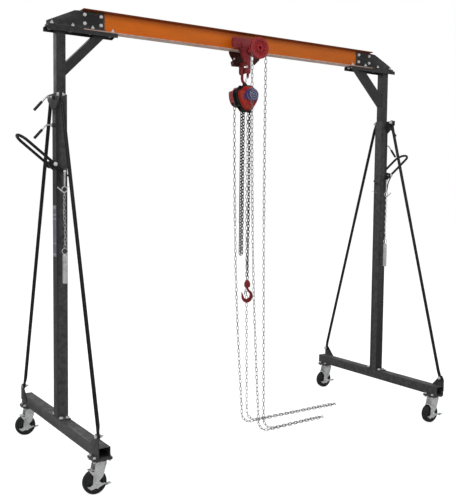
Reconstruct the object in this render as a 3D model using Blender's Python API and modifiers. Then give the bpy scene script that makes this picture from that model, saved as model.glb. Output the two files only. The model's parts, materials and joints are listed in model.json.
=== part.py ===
"""Portable gantry crane: two wheeled telescoping legs, an I-beam, a geared trolley and a chain hoist.

Units are metres.  X runs along the beam, Y along the base tubes, Z is up.  The origin is on the
floor, midway between the legs.  A leg is named by its side: "left" is at -X and "right" at +X.
Every solid keeps a small gap to its neighbours, so that no two of them touch.
"""

import math

import bmesh
import bpy
from mathutils import Matrix, Vector

# ---------------------------------------------------------------- driving dimensions
GAP = 0.0003                  # clearance between solids that rest on each other

# Legs
LEG_X = 1.473                 # centre of each leg, from the middle of the beam
BASE_LENGTH = 1.500           # base tube, along Y
BASE_WIDTH = 0.078
BASE_BOTTOM = 0.230
BASE_TOP = 0.303
TUBE_WALL = 0.003
OUTER_POST = 0.076            # square tube
OUTER_POST_TOP = 2.503
INNER_POST = 0.064            # square tube that slides in the outer post
INNER_POST_BOTTOM = 1.450
KNEE_TUBE = 0.060             # square tube of the 45 degree knee strut
KNEE_FOOT_Z = 2.672           # where the strut's centre line meets the inner post
PLATE = 0.006                 # thickness of lugs, collars and trolley plates
SINK = 0.001                  # how far a welded plate reaches into the tube that carries it
POST_FOOT = (0.090, 0.007)    # half length along Y and thickness of the outer post's foot flange
LUG_Z = (0.262, 0.352)        # lower edge of a brace lug, and where its rounded top starts
LUG_INNER_Y = 0.635
LUG_ROUND = 0.019
COLLAR = ((0.118, 2.508), (0.118, 2.472), (0.040, 2.405))  # half outline of the collar: Y and Z

# Braces, from the collar plate down to a lug near each end of the base tube
BRACE_RADIUS = 0.0125
BRACE_TOP = (0.096, 2.493)    # distance from the post's centre along Y, and height
BRACE_FOOT = (0.720, 0.368)
BRACE_BOLT_HOLE = 0.0065
BRACE_OVERHANG = 0.016        # tube beyond the centre of each end bolt

# Beam and its end brackets
BEAM_HALF_LENGTH = 1.314
BEAM_BOTTOM = 2.946
BEAM_HEIGHT = 0.142
FLANGE_WIDTH = 0.076
FLANGE_THICKNESS = 0.008
WEB_THICKNESS = 0.006
CHANNEL_INNER_X = 1.070
CHANNEL_OUTER_X = 1.568
CHANNEL_WIDTH = 0.100
CHANNEL_DEPTH = 0.030
CHANNEL_WALL = 0.005
GUSSET_THICKNESS = 0.005
GUSSET_FOOT_WIDTH = 0.036     # reach of the foot from the beam's centre plane
GUSSET_INNER_X = 1.152
GUSSET_OUTER_X = 1.561
GUSSET_BOLTS_X = (1.178, 1.296)
GUSSET_BOLTS_Z = (2.993, 3.052)
GUSSET_EDGE = ((1.561, 2.982), (1.369, 3.072), (1.330, 3.076), (1.152, 3.076))
GUSSET_BEND = 0.0063          # height of the upright plate's lower edge over the foot's underside
BOLT_HOLE = 0.0065

# Casters
CASTER_Y = 0.678
WHEEL_RADIUS = 0.076
WHEEL_HALF_WIDTH = 0.0245
CASTER_TRAIL = -0.037         # the wheel stands behind its swivel axis, towards -X
CASTER_PLATE = (0.062, 0.052)  # half sizes along X and Y
CASTER_PLATE_BOTTOM = 0.2145
FORK_GAP = 0.0285             # inner face of a fork leg, from the wheel's centre plane
FORK_SHEET = 0.004
FORK_CROWN_Z = 0.203
FORK_CROWN_X = (-0.042, 0.036)
RACE_RADIUS = 0.029
AXLE_RADIUS = 0.008
AXLE_OVERHANG = 0.009         # axle bolt beyond the outer face of a leg

# Clamp screws and lift lever
CLAMP_Z = {"upper": 2.481, "lower": 2.297}
CLAMP_ROD = 0.0058
CLAMP_BORE = 0.0064
CLAMP_BOSS = (0.014, 0.017)   # radius, and length beyond the post's face
CLAMP_BEND_X = 1.562          # where a clamp screw's handle bends down
CLAMP_GRIP = ((0.033, -0.032), (0.087, -0.094))  # both ends of the grip, from the bend
CLAMP_GRIP_RADIUS = 0.010
LEVER_PIVOT = (1.530, 2.036)  # distance from the beam's middle along X, and height
LEVER_RISE = math.radians(38.5)
LEVER_REACH = 0.229           # pivot to the centre of the grip's bend
LEVER_TAIL = 0.086            # pivot to the end that carries the chain
LEVER_HALF_GAP = 0.066        # arms straddle the post
LEVER_ROD = 0.010
LEVER_PIN_RADIUS = 0.006
LEVER_EAR_Z = (2.003, 2.062)  # lower and upper end of the bracket at the post's face
LEVER_EAR_Y = 0.0325
LEVER_EAR = 0.005             # thickness of a bracket plate
STUD_FROM_TAIL = 0.010        # the chain's stud, from the end of the lever
LIFT_CHAIN_Y = -0.081
LIFT_RING_Z = 1.455
LIFT_PIN = (1.237, 1.436)     # lower and upper end of the hanging pin
LIFT_PIN_RADIUS = 0.016
SNAP_Z = 1.870                # centre of the snap hook

# Trolley
TROLLEY_X = 0.020
TRACK_WHEEL_RADIUS = 0.030
TRACK_WHEEL_X = 0.062         # from the trolley's middle
TRACK_WHEEL_RIM = 0.006       # the rim's height over the tread
TRACK_STUB_RADIUS = 0.007
SIDE_PLATE_Y = 0.045          # inner face of a side plate
TONGUE_BOTTOM = 2.777         # lower end of the tongue that carries the suspension bar
# Outlines of the side plates above the tongue, from its right side round to its left side.
FRONT_PLATE = (
    (0.038, 2.926), (0.046, 2.936), (0.106, 2.940), (0.114, 2.950), (0.114, 3.034), (0.106, 3.043),
    (-0.074, 3.046), (-0.080, 3.040), (-0.076, 2.952), (-0.066, 2.944), (-0.037, 2.885), (-0.004, 2.838),
)
REAR_PLATE = (
    (0.038, 2.926), (0.046, 2.936), (0.126, 2.932), (0.130, 2.874), (0.141, 2.868), (0.187, 2.915),
    (0.187, 3.032), (0.175, 3.043), (-0.090, 3.046), (-0.099, 3.038), (-0.099, 2.960), (-0.093, 2.922),
    (-0.065, 2.881), (-0.082, 2.870), (-0.073, 2.837), (-0.004, 2.839),
)
BUMPER_X = (-0.140, -0.076)
BUMPER_Z = (2.960, 3.033)
BUMPER_REACH = 0.034
SUSPENSION_Z = 2.800
SUSPENSION_RADIUS = 0.011
SPACER_RADIUS = 0.017
SPACER_INNER_Y = 0.014
HAND_WHEEL_Y = -0.188
HAND_WHEEL_Z = 2.950
HAND_WHEEL_RADIUS = 0.080
HAND_WHEEL_PITCH = 0.061      # radius of the chain on either hand wheel
HAND_SHAFT_RADIUS = 0.0084
HAND_SHAFT_BORE = 0.0090
BEARING_LENGTH = 0.112
TROLLEY_CHAIN_FOOT_X = 0.085  # between the two strands where they reach the floor
TROLLEY_CHAIN_TAIL = (0.761, -0.140)
HOIST_CHAIN_FOOT_X = 0.100
HOIST_CHAIN_TAIL = (1.110, 0.112)
CHAIN_FOOT_SPREAD = 0.034     # half the distance between the two strands where they reach the floor
CHAIN_FLOOR_SPREAD = 0.012    # half their distance across the floor
CHAIN_BEND_Z = 0.10           # height at which a strand starts to bend onto the floor

# Hoist
HOIST_X = 0.034
HOIST_TOP = 2.694
HOIST_BOTTOM = 2.494
HOIST_WHEEL_Y = 0.070
HOIST_WHEEL_Z = 2.610
FRAME_Y = (-0.018, 0.040)     # middle frame, front to rear
GEAR_COVER_FRONT = -0.078
GEAR_BOSS_Z = 2.618
WHEEL_COVER_REAR = 0.120
WHEEL_COVER_WALL = 0.004
WHEEL_COVER = (               # half outline, from the lip between the chain's two sides upwards
    (0.040, 2.543), (0.046, 2.570), (0.080, 2.572), (0.088, 2.600), (0.088, 2.648), (0.050, 2.668),
    (0.042, 2.686),
)
GUIDE_RADIUS = 0.017
GUIDE_BORE = 0.0125
HOOK_SEAT_RADIUS = 0.016
HOOK_SEAT_BORE = 0.0085
TOP_HOOK_WIRE = 0.008
TOP_HOOK_RADIUS = 0.026
LOAD_CHAIN_X = 0.066
SLACK_CHAIN_X = 0.002
SLACK_CHAIN_BOTTOM = 1.374
HOOK_BLOCK = (1.118, 1.178)   # lower and upper end of the hook block
HOOK_CENTRE_Z = 1.058
HOOK_RADIUS = 0.037
HOOK_THICKEST = 0.0135
LINK_RADIUS = 0.0045          # half thickness of the solid that stands for a hand chain
LOAD_LINK_RADIUS = 0.0085
SLACK_LINK_RADIUS = 0.0052
SLACK_HALF_GAP = 0.0062       # half the distance between the slack chain's two strands
LATCH = (0.0022, 0.014)       # half thickness and width of the hook's latch

SIDES = {"left": -1, "right": 1}
ENDS = {"front": -1, "rear": 1}


# ---------------------------------------------------------------- scene and materials
def clear_scene():
    for obj in list(bpy.data.objects):
        bpy.data.objects.remove(obj, do_unlink=True)


def new_collection(name):
    collection = bpy.data.collections.new(name)
    bpy.context.scene.collection.children.link(collection)
    return collection


def new_material(name, colour, roughness, metallic):
    material = bpy.data.materials.new(name)
    material.use_nodes = True
    shader = material.node_tree.nodes["Principled BSDF"]
    shader.inputs["Base Color"].default_value = (*colour, 1.0)
    shader.inputs["Roughness"].default_value = roughness
    shader.inputs["Metallic"].default_value = metallic
    return material


clear_scene()
PARTS = new_collection("portable_gantry_crane")
CUTTERS = new_collection("cutters")

BLACK_COAT = new_material("black_powder_coat", (0.035, 0.036, 0.040), 0.42, 0.1)
ORANGE_COAT = new_material("orange_paint", (0.60, 0.17, 0.03), 0.40, 0.0)
ZINC = new_material("zinc_plate", (0.55, 0.56, 0.58), 0.35, 0.9)
TYRE = new_material("caster_tyre", (0.02, 0.02, 0.022), 0.6, 0.0)
CRIMSON = new_material("crimson_paint", (0.35, 0.015, 0.025), 0.35, 0.0)
HOIST_RED = new_material("hoist_red_paint", (0.50, 0.03, 0.02), 0.33, 0.0)
HOIST_BLACK = new_material("hoist_black_paint", (0.02, 0.022, 0.02), 0.4, 0.2)
CHAIN_BLACK = new_material("black_alloy_chain", (0.03, 0.03, 0.035), 0.4, 0.8)


# ---------------------------------------------------------------- shapes
def add_object(name, mesh, material):
    obj = bpy.data.objects.new(name, mesh)
    PARTS.objects.link(obj)
    if material is not None:
        mesh.materials.append(material)
    return obj


def finish_bmesh(name, bm, material):
    bm.normal_update()
    bmesh.ops.recalc_face_normals(bm, faces=bm.faces)
    mesh = bpy.data.meshes.new(name)
    bm.to_mesh(mesh)
    bm.free()
    return add_object(name, mesh, material)


def block(name, low, high, material=None):
    """A box between two corners."""
    bm = bmesh.new()
    bmesh.ops.create_cube(bm, size=1.0)
    low, high = Vector(low), Vector(high)
    size = Vector([abs(b - a) for a, b in zip(low, high)])
    bmesh.ops.scale(bm, vec=size, verts=bm.verts)
    bmesh.ops.translate(bm, vec=(low + high) / 2, verts=bm.verts)
    return finish_bmesh(name, bm, material)


def rod(name, start, end, radius, segments=16, material=None):
    """A cylinder between two points."""
    start, end = Vector(start), Vector(end)
    bm = bmesh.new()
    bmesh.ops.create_cone(
        bm, cap_ends=True, segments=segments, radius1=radius, radius2=radius, depth=(end - start).length
    )
    turn = (end - start).to_track_quat("Z", "Y").to_matrix().to_4x4()
    bm.transform(Matrix.Translation((start + end) / 2) @ turn)
    obj = finish_bmesh(name, bm, material)
    smooth_round(obj.data)
    return obj


def smooth_round(mesh, angle=math.radians(35)):
    mesh.shade_smooth()
    mesh.set_sharp_from_angle(angle=angle)


def mesh_from_curve(obj, material):
    """Turn a curve object into a closed mesh object of the same name."""
    name = obj.name
    depsgraph = bpy.context.evaluated_depsgraph_get()
    mesh = bpy.data.meshes.new_from_object(obj.evaluated_get(depsgraph))
    bm = bmesh.new()
    bm.from_mesh(mesh)
    bmesh.ops.remove_doubles(bm, verts=bm.verts, dist=1e-6)
    bm.transform(obj.matrix_world)
    bpy.data.objects.remove(obj, do_unlink=True)
    bpy.data.meshes.remove(mesh)
    return finish_bmesh(name, bm, material)


def plate(name, loops, thickness, frame, material=None):
    """A flat piece: its outer loop, then its holes, centred on the frame's XY plane."""
    curve = bpy.data.curves.new(name, "CURVE")
    curve.dimensions = "2D"
    curve.fill_mode = "BOTH"
    curve.extrude = thickness / 2
    for loop in loops:
        spline = curve.splines.new("POLY")
        spline.points.add(len(loop) - 1)
        for point, (u, v) in zip(spline.points, loop):
            point.co = (u, v, 0.0, 1.0)
        spline.use_cyclic_u = True
    obj = bpy.data.objects.new(name, curve)
    PARTS.objects.link(obj)
    obj.matrix_world = frame
    bpy.context.view_layer.update()
    return mesh_from_curve(obj, material)


def wire(name, points, radius, material=None, cyclic=False, resolution=1, taper=None):
    """A round bar along a path.  The taper gives each point its share of the radius."""
    curve = bpy.data.curves.new(name, "CURVE")
    curve.dimensions = "3D"
    curve.bevel_depth = radius
    curve.bevel_resolution = resolution
    curve.use_fill_caps = not cyclic
    spline = curve.splines.new("POLY")
    spline.points.add(len(points) - 1)
    for target, point in zip(spline.points, points):
        target.co = (*point, 1.0)
    if taper is not None:
        for target, share in zip(spline.points, taper):
            target.radius = share
    spline.use_cyclic_u = cyclic
    spline.use_smooth = True
    obj = bpy.data.objects.new(name, curve)
    PARTS.objects.link(obj)
    bpy.context.view_layer.update()
    result = mesh_from_curve(obj, material)
    smooth_round(result.data, math.radians(60))
    return result


def turned(name, profile, frame, steps, material=None):
    """A solid of revolution about the frame's Z axis.  The profile is a closed loop of (radius,
    height) points that runs down its outer side."""
    mesh = bpy.data.meshes.new(name)
    vertices = [(r, 0.0, z) for r, z in profile]
    edges = [(i, (i + 1) % len(profile)) for i in range(len(profile))]
    mesh.from_pydata(vertices, edges, [])
    obj = add_object(name, mesh, material)
    obj.matrix_world = frame
    screw = obj.modifiers.new("turn", "SCREW")
    screw.axis = "Z"
    screw.steps = steps
    screw.render_steps = steps
    screw.use_merge_vertices = True
    screw.merge_threshold = 1e-5
    screw.use_smooth_shade = True
    return obj


def spun(name, profile, frame, steps, material=None):
    """A solid of revolution whose profile starts and ends on the frame's Z axis."""
    bm = bmesh.new()
    points = [bm.verts.new((radius, 0.0, z)) for radius, z in profile]
    edges = [bm.edges.new((a, b)) for a, b in zip(points, points[1:])]
    turn = {"cent": (0, 0, 0), "axis": (0, 0, 1), "angle": 2 * math.pi, "steps": steps}
    bmesh.ops.spin(bm, geom=points + edges, use_merge=True, **turn)
    bmesh.ops.remove_doubles(bm, verts=bm.verts, dist=1e-6)
    obj = finish_bmesh(name, bm, material)
    obj.matrix_world = frame
    smooth_round(obj.data)
    return obj


def hide_tool(tool):
    PARTS.objects.unlink(tool)
    CUTTERS.objects.link(tool)
    tool.hide_render = True
    tool.display_type = "WIRE"


def combine(target, tools, operation):
    for tool in tools:
        modifier = target.modifiers.new(operation.lower(), "BOOLEAN")
        modifier.operation = operation
        modifier.solver = "EXACT"
        modifier.object = tool
        hide_tool(tool)
    return target


def unite(target, *tools):
    return combine(target, tools, "UNION")


def cut(target, *tools):
    return combine(target, tools, "DIFFERENCE")


def set_pivot(obj, point):
    """Move the object's origin to a point and leave its shape where it is."""
    offset = Vector(point) - obj.matrix_world.translation
    local = obj.matrix_world.to_3x3().inverted() @ offset
    obj.data.transform(Matrix.Translation(-local))
    obj.matrix_world.translation = Vector(point)
    return obj


# ---------------------------------------------------------------- outlines and frames
def frame_xz(y):
    """A plane across Y: its first direction is X, its second is Z."""
    return Matrix(((1, 0, 0, 0), (0, 0, -1, y), (0, 1, 0, 0), (0, 0, 0, 1)))


def frame_yz(x):
    """A plane across X: its first direction is Y, its second is Z."""
    return Matrix(((0, 0, 1, x), (1, 0, 0, 0), (0, 1, 0, 0), (0, 0, 0, 1)))


def frame_xy(z):
    return Matrix.Translation((0, 0, z))


def axis_along_y(point, sign=1):
    """Local Z points along +Y, or along -Y where the sign is -1, at a point."""
    return Matrix.Translation(point) @ Matrix.Rotation(-sign * math.pi / 2, 4, "X")


def arc(centre, radius, start_deg, end_deg, count):
    """Points along an arc, both ends included."""
    points = []
    for i in range(count):
        angle = math.radians(start_deg + (end_deg - start_deg) * i / (count - 1))
        points.append((centre[0] + radius * math.cos(angle), centre[1] + radius * math.sin(angle)))
    return points


def circle(centre, radius, count=12):
    return arc(centre, radius, 0, 360 - 360 / count, count)


def hole(centre, radius, count=12):
    """A hole's loop whose flats stand clear of a round pin of the given radius."""
    phase = 5.0
    return arc(centre, radius / math.cos(math.pi / count), phase, phase + 360 - 360 / count, count)


def rectangle(half_u, half_v, centre=(0.0, 0.0)):
    u, v = centre
    corners = [(-half_u, -half_v), (half_u, -half_v), (half_u, half_v), (-half_u, half_v)]
    return [(u + du, v + dv) for du, dv in corners]


def mirrored(points, sign):
    return [(sign * u, v) for u, v in points]


# ---------------------------------------------------------------- lower frames
def base_tube(side, s):
    """Floor tube with its brace lugs and its two caster plates, one weldment."""
    x = s * LEG_X
    middle = (BASE_BOTTOM + BASE_TOP) / 2
    half = (BASE_WIDTH / 2, (BASE_TOP - BASE_BOTTOM) / 2)
    outer = rectangle(*half, (x, middle))
    inner = rectangle(half[0] - TUBE_WALL, half[1] - TUBE_WALL, (x, middle))
    tube = plate(f"base_tube_{side}", [outer, inner], BASE_LENGTH, frame_xz(0), BLACK_COAT)
    tools = []
    lug_x = x + s * (BASE_WIDTH / 2 + PLATE / 2 - SINK)
    lug_low, lug_high = LUG_Z
    end = BASE_LENGTH / 2
    foot_y, foot_z = BRACE_FOOT
    for name, e in ENDS.items():
        outline = [(end, lug_low), (end, lug_high)]
        outline += arc((foot_y, foot_z), LUG_ROUND, 20, 150, 5)
        outline += [(LUG_INNER_Y, BASE_TOP + 0.002), (LUG_INNER_Y, lug_low)]
        loops = [mirrored(outline, e), hole((e * foot_y, foot_z), BRACE_BOLT_HOLE, 10)]
        tools.append(plate(f"lug_{side}_{name}", loops, PLATE, frame_yz(lug_x)))
        half_x, half_y = CASTER_PLATE
        tools.append(
            block(
                f"caster_plate_{side}_{name}",
                (x - half_x, e * CASTER_Y - half_y, CASTER_PLATE_BOTTOM),
                (x + half_x, e * CASTER_Y + half_y, BASE_BOTTOM + SINK),
            )
        )
    return unite(tube, *tools)


def outer_post(side, s):
    """Square post with its foot flange, collar plate, clamp bosses and lever bracket."""
    x = s * LEG_X
    half = OUTER_POST / 2
    foot_half, foot_thickness = POST_FOOT
    foot_top = BASE_TOP + GAP + foot_thickness
    bottom = foot_top - SINK
    height = OUTER_POST_TOP - bottom
    loops = [rectangle(half, half, (x, 0)), rectangle(half - TUBE_WALL, half - TUBE_WALL, (x, 0))]
    post = plate(f"outer_post_{side}", loops, height, frame_xy(bottom + height / 2), BLACK_COAT)

    face = x + s * half
    root = face - s * SINK
    foot_low = (x - half, -foot_half, BASE_TOP + GAP)
    tools = [block(f"foot_{side}", foot_low, (x + half, foot_half, foot_top))]
    collar = [*COLLAR, *[(-y, z) for y, z in reversed(COLLAR)]]
    holes = [hole((e * BRACE_TOP[0], BRACE_TOP[1]), BRACE_BOLT_HOLE, 10) for e in (-1, 1)]
    tools.append(plate(f"collar_{side}", [collar, *holes], PLATE, frame_yz(root + s * PLATE / 2)))
    boss_radius, boss_length = CLAMP_BOSS
    for level, z in CLAMP_Z.items():
        boss_end = (face + s * boss_length, 0, z)
        tools.append(rod(f"boss_{level}_{side}", (root, 0, z), boss_end, boss_radius, 12))
    pivot_x, pivot_z = LEVER_PIVOT
    tip_centre = (s * (pivot_x + 0.015), pivot_z)
    for ear in (-1, 1):
        outline = [(root, z) for z in LEVER_EAR_Z]
        outline += arc(tip_centre, 0.022, 90 - s * 20, 90 - s * 160, 6)
        loops = [outline, hole((s * pivot_x, pivot_z), LEVER_PIN_RADIUS + GAP, 12)]
        tools.append(plate(f"lever_ear_{side}_{ear}", loops, LEVER_EAR, frame_xz(ear * LEVER_EAR_Y)))
    unite(post, *tools)

    bores = []
    for level, z in CLAMP_Z.items():
        start = (x + s * (half - 2 * TUBE_WALL), 0, z)
        end = (face + s * 2 * boss_length, 0, z)
        bores.append(rod(f"bore_{level}_{side}", start, end, CLAMP_BORE, 12))
    return cut(post, *bores)


def brace(side, s, end, e):
    """Round tube from the collar plate to the base lug, bolted through both ends."""
    x = s * (LEG_X + OUTER_POST / 2 - SINK - BRACE_RADIUS - GAP)
    top = Vector((x, e * BRACE_TOP[0], BRACE_TOP[1]))
    foot = Vector((x, e * BRACE_FOOT[0], BRACE_FOOT[1]))
    run = (top - foot).normalized()
    over = run * BRACE_OVERHANG
    tube = rod(f"brace_{end}_{side}", foot - over, top + over, BRACE_RADIUS, 12, BLACK_COAT)
    holes = []
    for name, point in (("top", top), ("foot", foot)):
        away = Vector((0.03, 0, 0))
        holes.append(rod(f"brace_hole_{name}_{end}_{side}", point - away, point + away, 0.0058, 8))
    return cut(tube, *holes)


# ---------------------------------------------------------------- upper frame
def i_beam():
    half_flange = FLANGE_WIDTH / 2
    half_web = WEB_THICKNESS / 2
    low, high = BEAM_BOTTOM, BEAM_BOTTOM + BEAM_HEIGHT
    t = FLANGE_THICKNESS
    fillet = 0.0035
    corner = [
        (half_flange, high), (half_flange, high - t), (half_web + fillet, high - t),
        (half_web, high - t - fillet), (half_web, low + t + fillet), (half_web + fillet, low + t),
        (half_flange, low + t), (half_flange, low),
    ]
    outline = corner + [(-y, z) for y, z in reversed(corner)]
    return plate("i_beam", [outline], 2 * BEAM_HALF_LENGTH, frame_yz(0), ORANGE_COAT)


def channel_top():
    return BEAM_BOTTOM - GAP


def head_channel(side, s):
    """Inverted channel on top of the post, with a packer level with the beam's flange."""
    half = CHANNEL_WIDTH / 2
    top = channel_top()
    low = top - CHANNEL_DEPTH
    web = top - CHANNEL_WALL
    inside = half - CHANNEL_WALL
    round_off = 0.004
    outline = [
        (-half, low), (-half, top - round_off), (-half + round_off, top), (half - round_off, top),
        (half, top - round_off), (half, low), (inside, low), (inside, web), (-inside, web), (-inside, low),
    ]
    middle = s * (CHANNEL_INNER_X + CHANNEL_OUTER_X) / 2
    length = CHANNEL_OUTER_X - CHANNEL_INNER_X
    channel = plate(f"head_channel_{side}", [outline], length, frame_yz(middle), BLACK_COAT)
    packer = block(
        f"packer_{side}",
        (s * (BEAM_HALF_LENGTH + 0.003), -GUSSET_FOOT_WIDTH, top - SINK),
        (s * GUSSET_OUTER_X, GUSSET_FOOT_WIDTH, BEAM_BOTTOM + FLANGE_THICKNESS),
    )
    return unite(channel, packer)


def inner_post(side, s):
    half = INNER_POST / 2
    x = s * LEG_X
    top = channel_top() - CHANNEL_WALL - GAP
    height = top - INNER_POST_BOTTOM
    loops = [rectangle(half, half, (x, 0)), rectangle(half - TUBE_WALL, half - TUBE_WALL, (x, 0))]
    return plate(f"inner_post_{side}", loops, height, frame_xy(INNER_POST_BOTTOM + height / 2), BLACK_COAT)


def knee_outline(s, half_depth, end_extra):
    """Side view of the 45 degree strut: its foot is cut upright and its head level."""
    foot_x = LEG_X - INNER_POST / 2 - GAP + end_extra
    head_z = channel_top() - CHANNEL_WALL - GAP + end_extra
    total = LEG_X - INNER_POST / 2 - GAP + KNEE_FOOT_Z
    shift = half_depth * math.sqrt(2)
    points = [
        (foot_x, total - shift - foot_x), (foot_x, total + shift - foot_x),
        (total + shift - head_z, head_z), (total - shift - head_z, head_z),
    ]
    return mirrored(points, s)


def knee_strut(side, s):
    half = KNEE_TUBE / 2
    strut = plate(f"knee_strut_{side}", [knee_outline(s, half, 0)], KNEE_TUBE, frame_xz(0), BLACK_COAT)
    inner = half - TUBE_WALL
    core = plate(f"knee_core_{side}", [knee_outline(s, inner, 0.01)], 2 * inner, frame_xz(0))
    return cut(strut, core)


def gusset(side, s, end, e):
    """Angle plate bolted through the beam's web, with a foot on the bottom flange."""
    foot_z = BEAM_BOTTOM + FLANGE_THICKNESS + GAP
    face = WEB_THICKNESS / 2 + GAP
    low = foot_z + GUSSET_BEND
    outline = [(GUSSET_OUTER_X, low), *GUSSET_EDGE, (GUSSET_INNER_X, low)]
    loops = [mirrored(outline, s)]
    loops += [hole((s * x, z), BOLT_HOLE, 10) for x in GUSSET_BOLTS_X for z in GUSSET_BOLTS_Z]
    y = e * (face + GUSSET_THICKNESS / 2)
    upright = plate(f"gusset_{end}_{side}", loops, GUSSET_THICKNESS, frame_xz(y), BLACK_COAT)
    # The foot bends out over the flange's root fillet.
    root = face + 0.0065
    top = foot_z + GUSSET_THICKNESS
    inset = 0.0008
    near, far = face + inset, face + GUSSET_THICKNESS - inset
    profile = [
        (near, foot_z + 0.012), (far, foot_z + 0.012), (far, foot_z + 0.008), (root + 0.003, top),
        (GUSSET_FOOT_WIDTH, top), (GUSSET_FOOT_WIDTH, foot_z), (root, foot_z), (near, foot_z + 0.006),
    ]
    middle = s * (GUSSET_INNER_X + GUSSET_OUTER_X) / 2
    length = GUSSET_OUTER_X - GUSSET_INNER_X - 2 * GAP
    foot = plate(f"gusset_foot_{end}_{side}", [mirrored(profile, e)], length, frame_yz(middle))
    return unite(upright, foot)


# ---------------------------------------------------------------- casters
def caster_axle(x, y):
    return (x + CASTER_TRAIL, y, WHEEL_RADIUS)


def caster_fork(name, x, y):
    """Pressed fork with its swivel race and axle bolt."""
    axle_x, _, axle_z = caster_axle(x, y)
    crown_z = FORK_CROWN_Z
    rear_x, front_x = FORK_CROWN_X
    half = FORK_GAP + FORK_SHEET
    leg_outline = [(x + front_x - 0.002, crown_z), (x + 0.020, 0.150)]
    leg_outline += arc((axle_x, axle_z), 0.024, 20, -200, 9)
    leg_outline += [(x - 0.060, 0.140), (x + rear_x + 0.002, crown_z)]
    crown = block(
        f"caster_fork_{name}", (x + rear_x, y - half, crown_z - 0.005), (x + front_x, y + half, crown_z), ZINC
    )
    tools = []
    for e in (-1, 1):
        leg_y = y + e * (FORK_GAP + FORK_SHEET / 2)
        tools.append(plate(f"fork_leg_{name}_{e}", [leg_outline], FORK_SHEET, frame_xz(leg_y)))
    top = CASTER_PLATE_BOTTOM - GAP
    tools.append(rod(f"fork_race_{name}", (x, y, crown_z - 0.003), (x, y, top), RACE_RADIUS, 20))
    reach = half + AXLE_OVERHANG
    axle_ends = [(axle_x, y + e * reach, axle_z) for e in (-1, 1)]
    tools.append(rod(f"fork_axle_{name}", *axle_ends, AXLE_RADIUS, 12))
    fork = unite(crown, *tools)
    return set_pivot(fork, (x, y, crown_z))


def caster_wheel(name, x, y):
    """Wheel with a dished hub, and a bore that runs on the axle bolt."""
    w = WHEEL_HALF_WIDTH
    r = WHEEL_RADIUS
    bore = AXLE_RADIUS + 0.0006
    half = [
        (bore, w + 0.002), (0.018, w + 0.002), (0.020, w - 0.006), (0.052, w - 0.006), (0.056, w),
        (r - 0.004, w), (r, w - 0.006),
    ]
    profile = half + [(radius, -z) for radius, z in reversed(half)]
    return turned(f"caster_wheel_{name}", profile, axis_along_y(caster_axle(x, y)), 28, TYRE)


def caster_brake(name, x, y):
    """Foot lever that turns on the axle bolt, outside the fork's front leg."""
    axle_x, _, axle_z = caster_axle(x, y)
    sheet = 0.004
    brake_y = y - FORK_GAP - FORK_SHEET - GAP - sheet / 2
    # Outline from the axle: the short tail, then the long bar under the tread block.
    lever = [
        (-0.058, -0.052), (-0.020, -0.036), (0.030, -0.026), (0.094, -0.016), (0.098, -0.004),
        (0.040, -0.008), (0.020, 0.010), *arc((0, 0), 0.018, 60, 180, 5), (-0.026, -0.022), (-0.062, -0.040),
    ]
    lever = [(axle_x + u, axle_z + v) for u, v in lever]
    loops = [lever, hole((axle_x, axle_z), AXLE_RADIUS + 0.0004, 12)]
    brake = plate(f"caster_brake_{name}", loops, sheet, frame_xz(brake_y), ZINC)
    tread = block(
        f"brake_tread_{name}",
        (axle_x + 0.072, brake_y - 0.016, axle_z - 0.0165),
        (axle_x + 0.100, brake_y + 0.001, axle_z - 0.0105),
    )
    unite(brake, tread)
    return set_pivot(brake, (axle_x, brake_y, axle_z))


# ---------------------------------------------------------------- clamp screws and lift lever
def clamp_screw(level, side, s):
    """Screw that presses on the inner post, with a cranked handle and a grip."""
    z = CLAMP_Z[level]
    tip = LEG_X + INNER_POST / 2 + 0.0006
    bend = CLAMP_BEND_X
    crank = [(tip - bend, 0.0), (0.0, 0.0), (0.008, -0.003), (0.035, -0.034), (0.040, -0.040)]
    points = [(s * (bend + out), 0.0, z + down) for out, down in crank]
    screw = wire(f"clamp_screw_{level}_{side}", points, CLAMP_ROD, ZINC)
    grip_ends = [(s * (bend + out), 0, z + down) for out, down in CLAMP_GRIP]
    grip = rod(f"grip_{level}_{side}", *grip_ends, CLAMP_GRIP_RADIUS, 12)
    unite(screw, grip)
    return set_pivot(screw, (s * bend, 0, z))


def lever_point(s, distance, y):
    """A point on the lever's line: positive distances run out to the grip."""
    x = LEVER_PIVOT[0] + distance * math.cos(LEVER_RISE)
    z = LEVER_PIVOT[1] + distance * math.sin(LEVER_RISE)
    return (s * x, y, z)


def lever_stud_point(s):
    return lever_point(s, STUD_FROM_TAIL - LEVER_TAIL, 0)


def lift_lever(side, s):
    """Bent bar that straddles the post, with its pivot pin and the stud that carries the chain."""
    bend = []
    for i in range(9):
        angle = math.pi * i / 8
        reach = LEVER_REACH + LEVER_HALF_GAP * math.sin(angle)
        bend.append(lever_point(s, reach, -LEVER_HALF_GAP * math.cos(angle)))
    tails = [lever_point(s, -LEVER_TAIL, e * LEVER_HALF_GAP) for e in (-1, 1)]
    points = [tails[0], *bend, tails[1]]
    lever = wire(f"lift_lever_{side}", points, LEVER_ROD, BLACK_COAT, resolution=2)
    pivot_x, pivot_z = s * LEVER_PIVOT[0], LEVER_PIVOT[1]
    half = LEVER_HALF_GAP + 0.014
    pin_ends = [(pivot_x, e * half, pivot_z) for e in (-1, 1)]
    pin = rod(f"lever_pin_{side}", *pin_ends, LEVER_PIN_RADIUS, 12)
    stud_x, _, stud_z = lever_stud_point(s)
    stud_ends = [(stud_x, y, stud_z) for y in (-LEVER_HALF_GAP, LIFT_CHAIN_Y - 0.007)]
    stud = rod(f"lever_stud_{side}", *stud_ends, 0.005, 10)
    unite(lever, pin, stud)
    return set_pivot(lever, (pivot_x, 0, pivot_z))


def ring_points(centre, radius, count):
    x, y, z = centre
    return [(x + u, y, z + v) for u, v in circle((0, 0), radius, count)]


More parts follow.
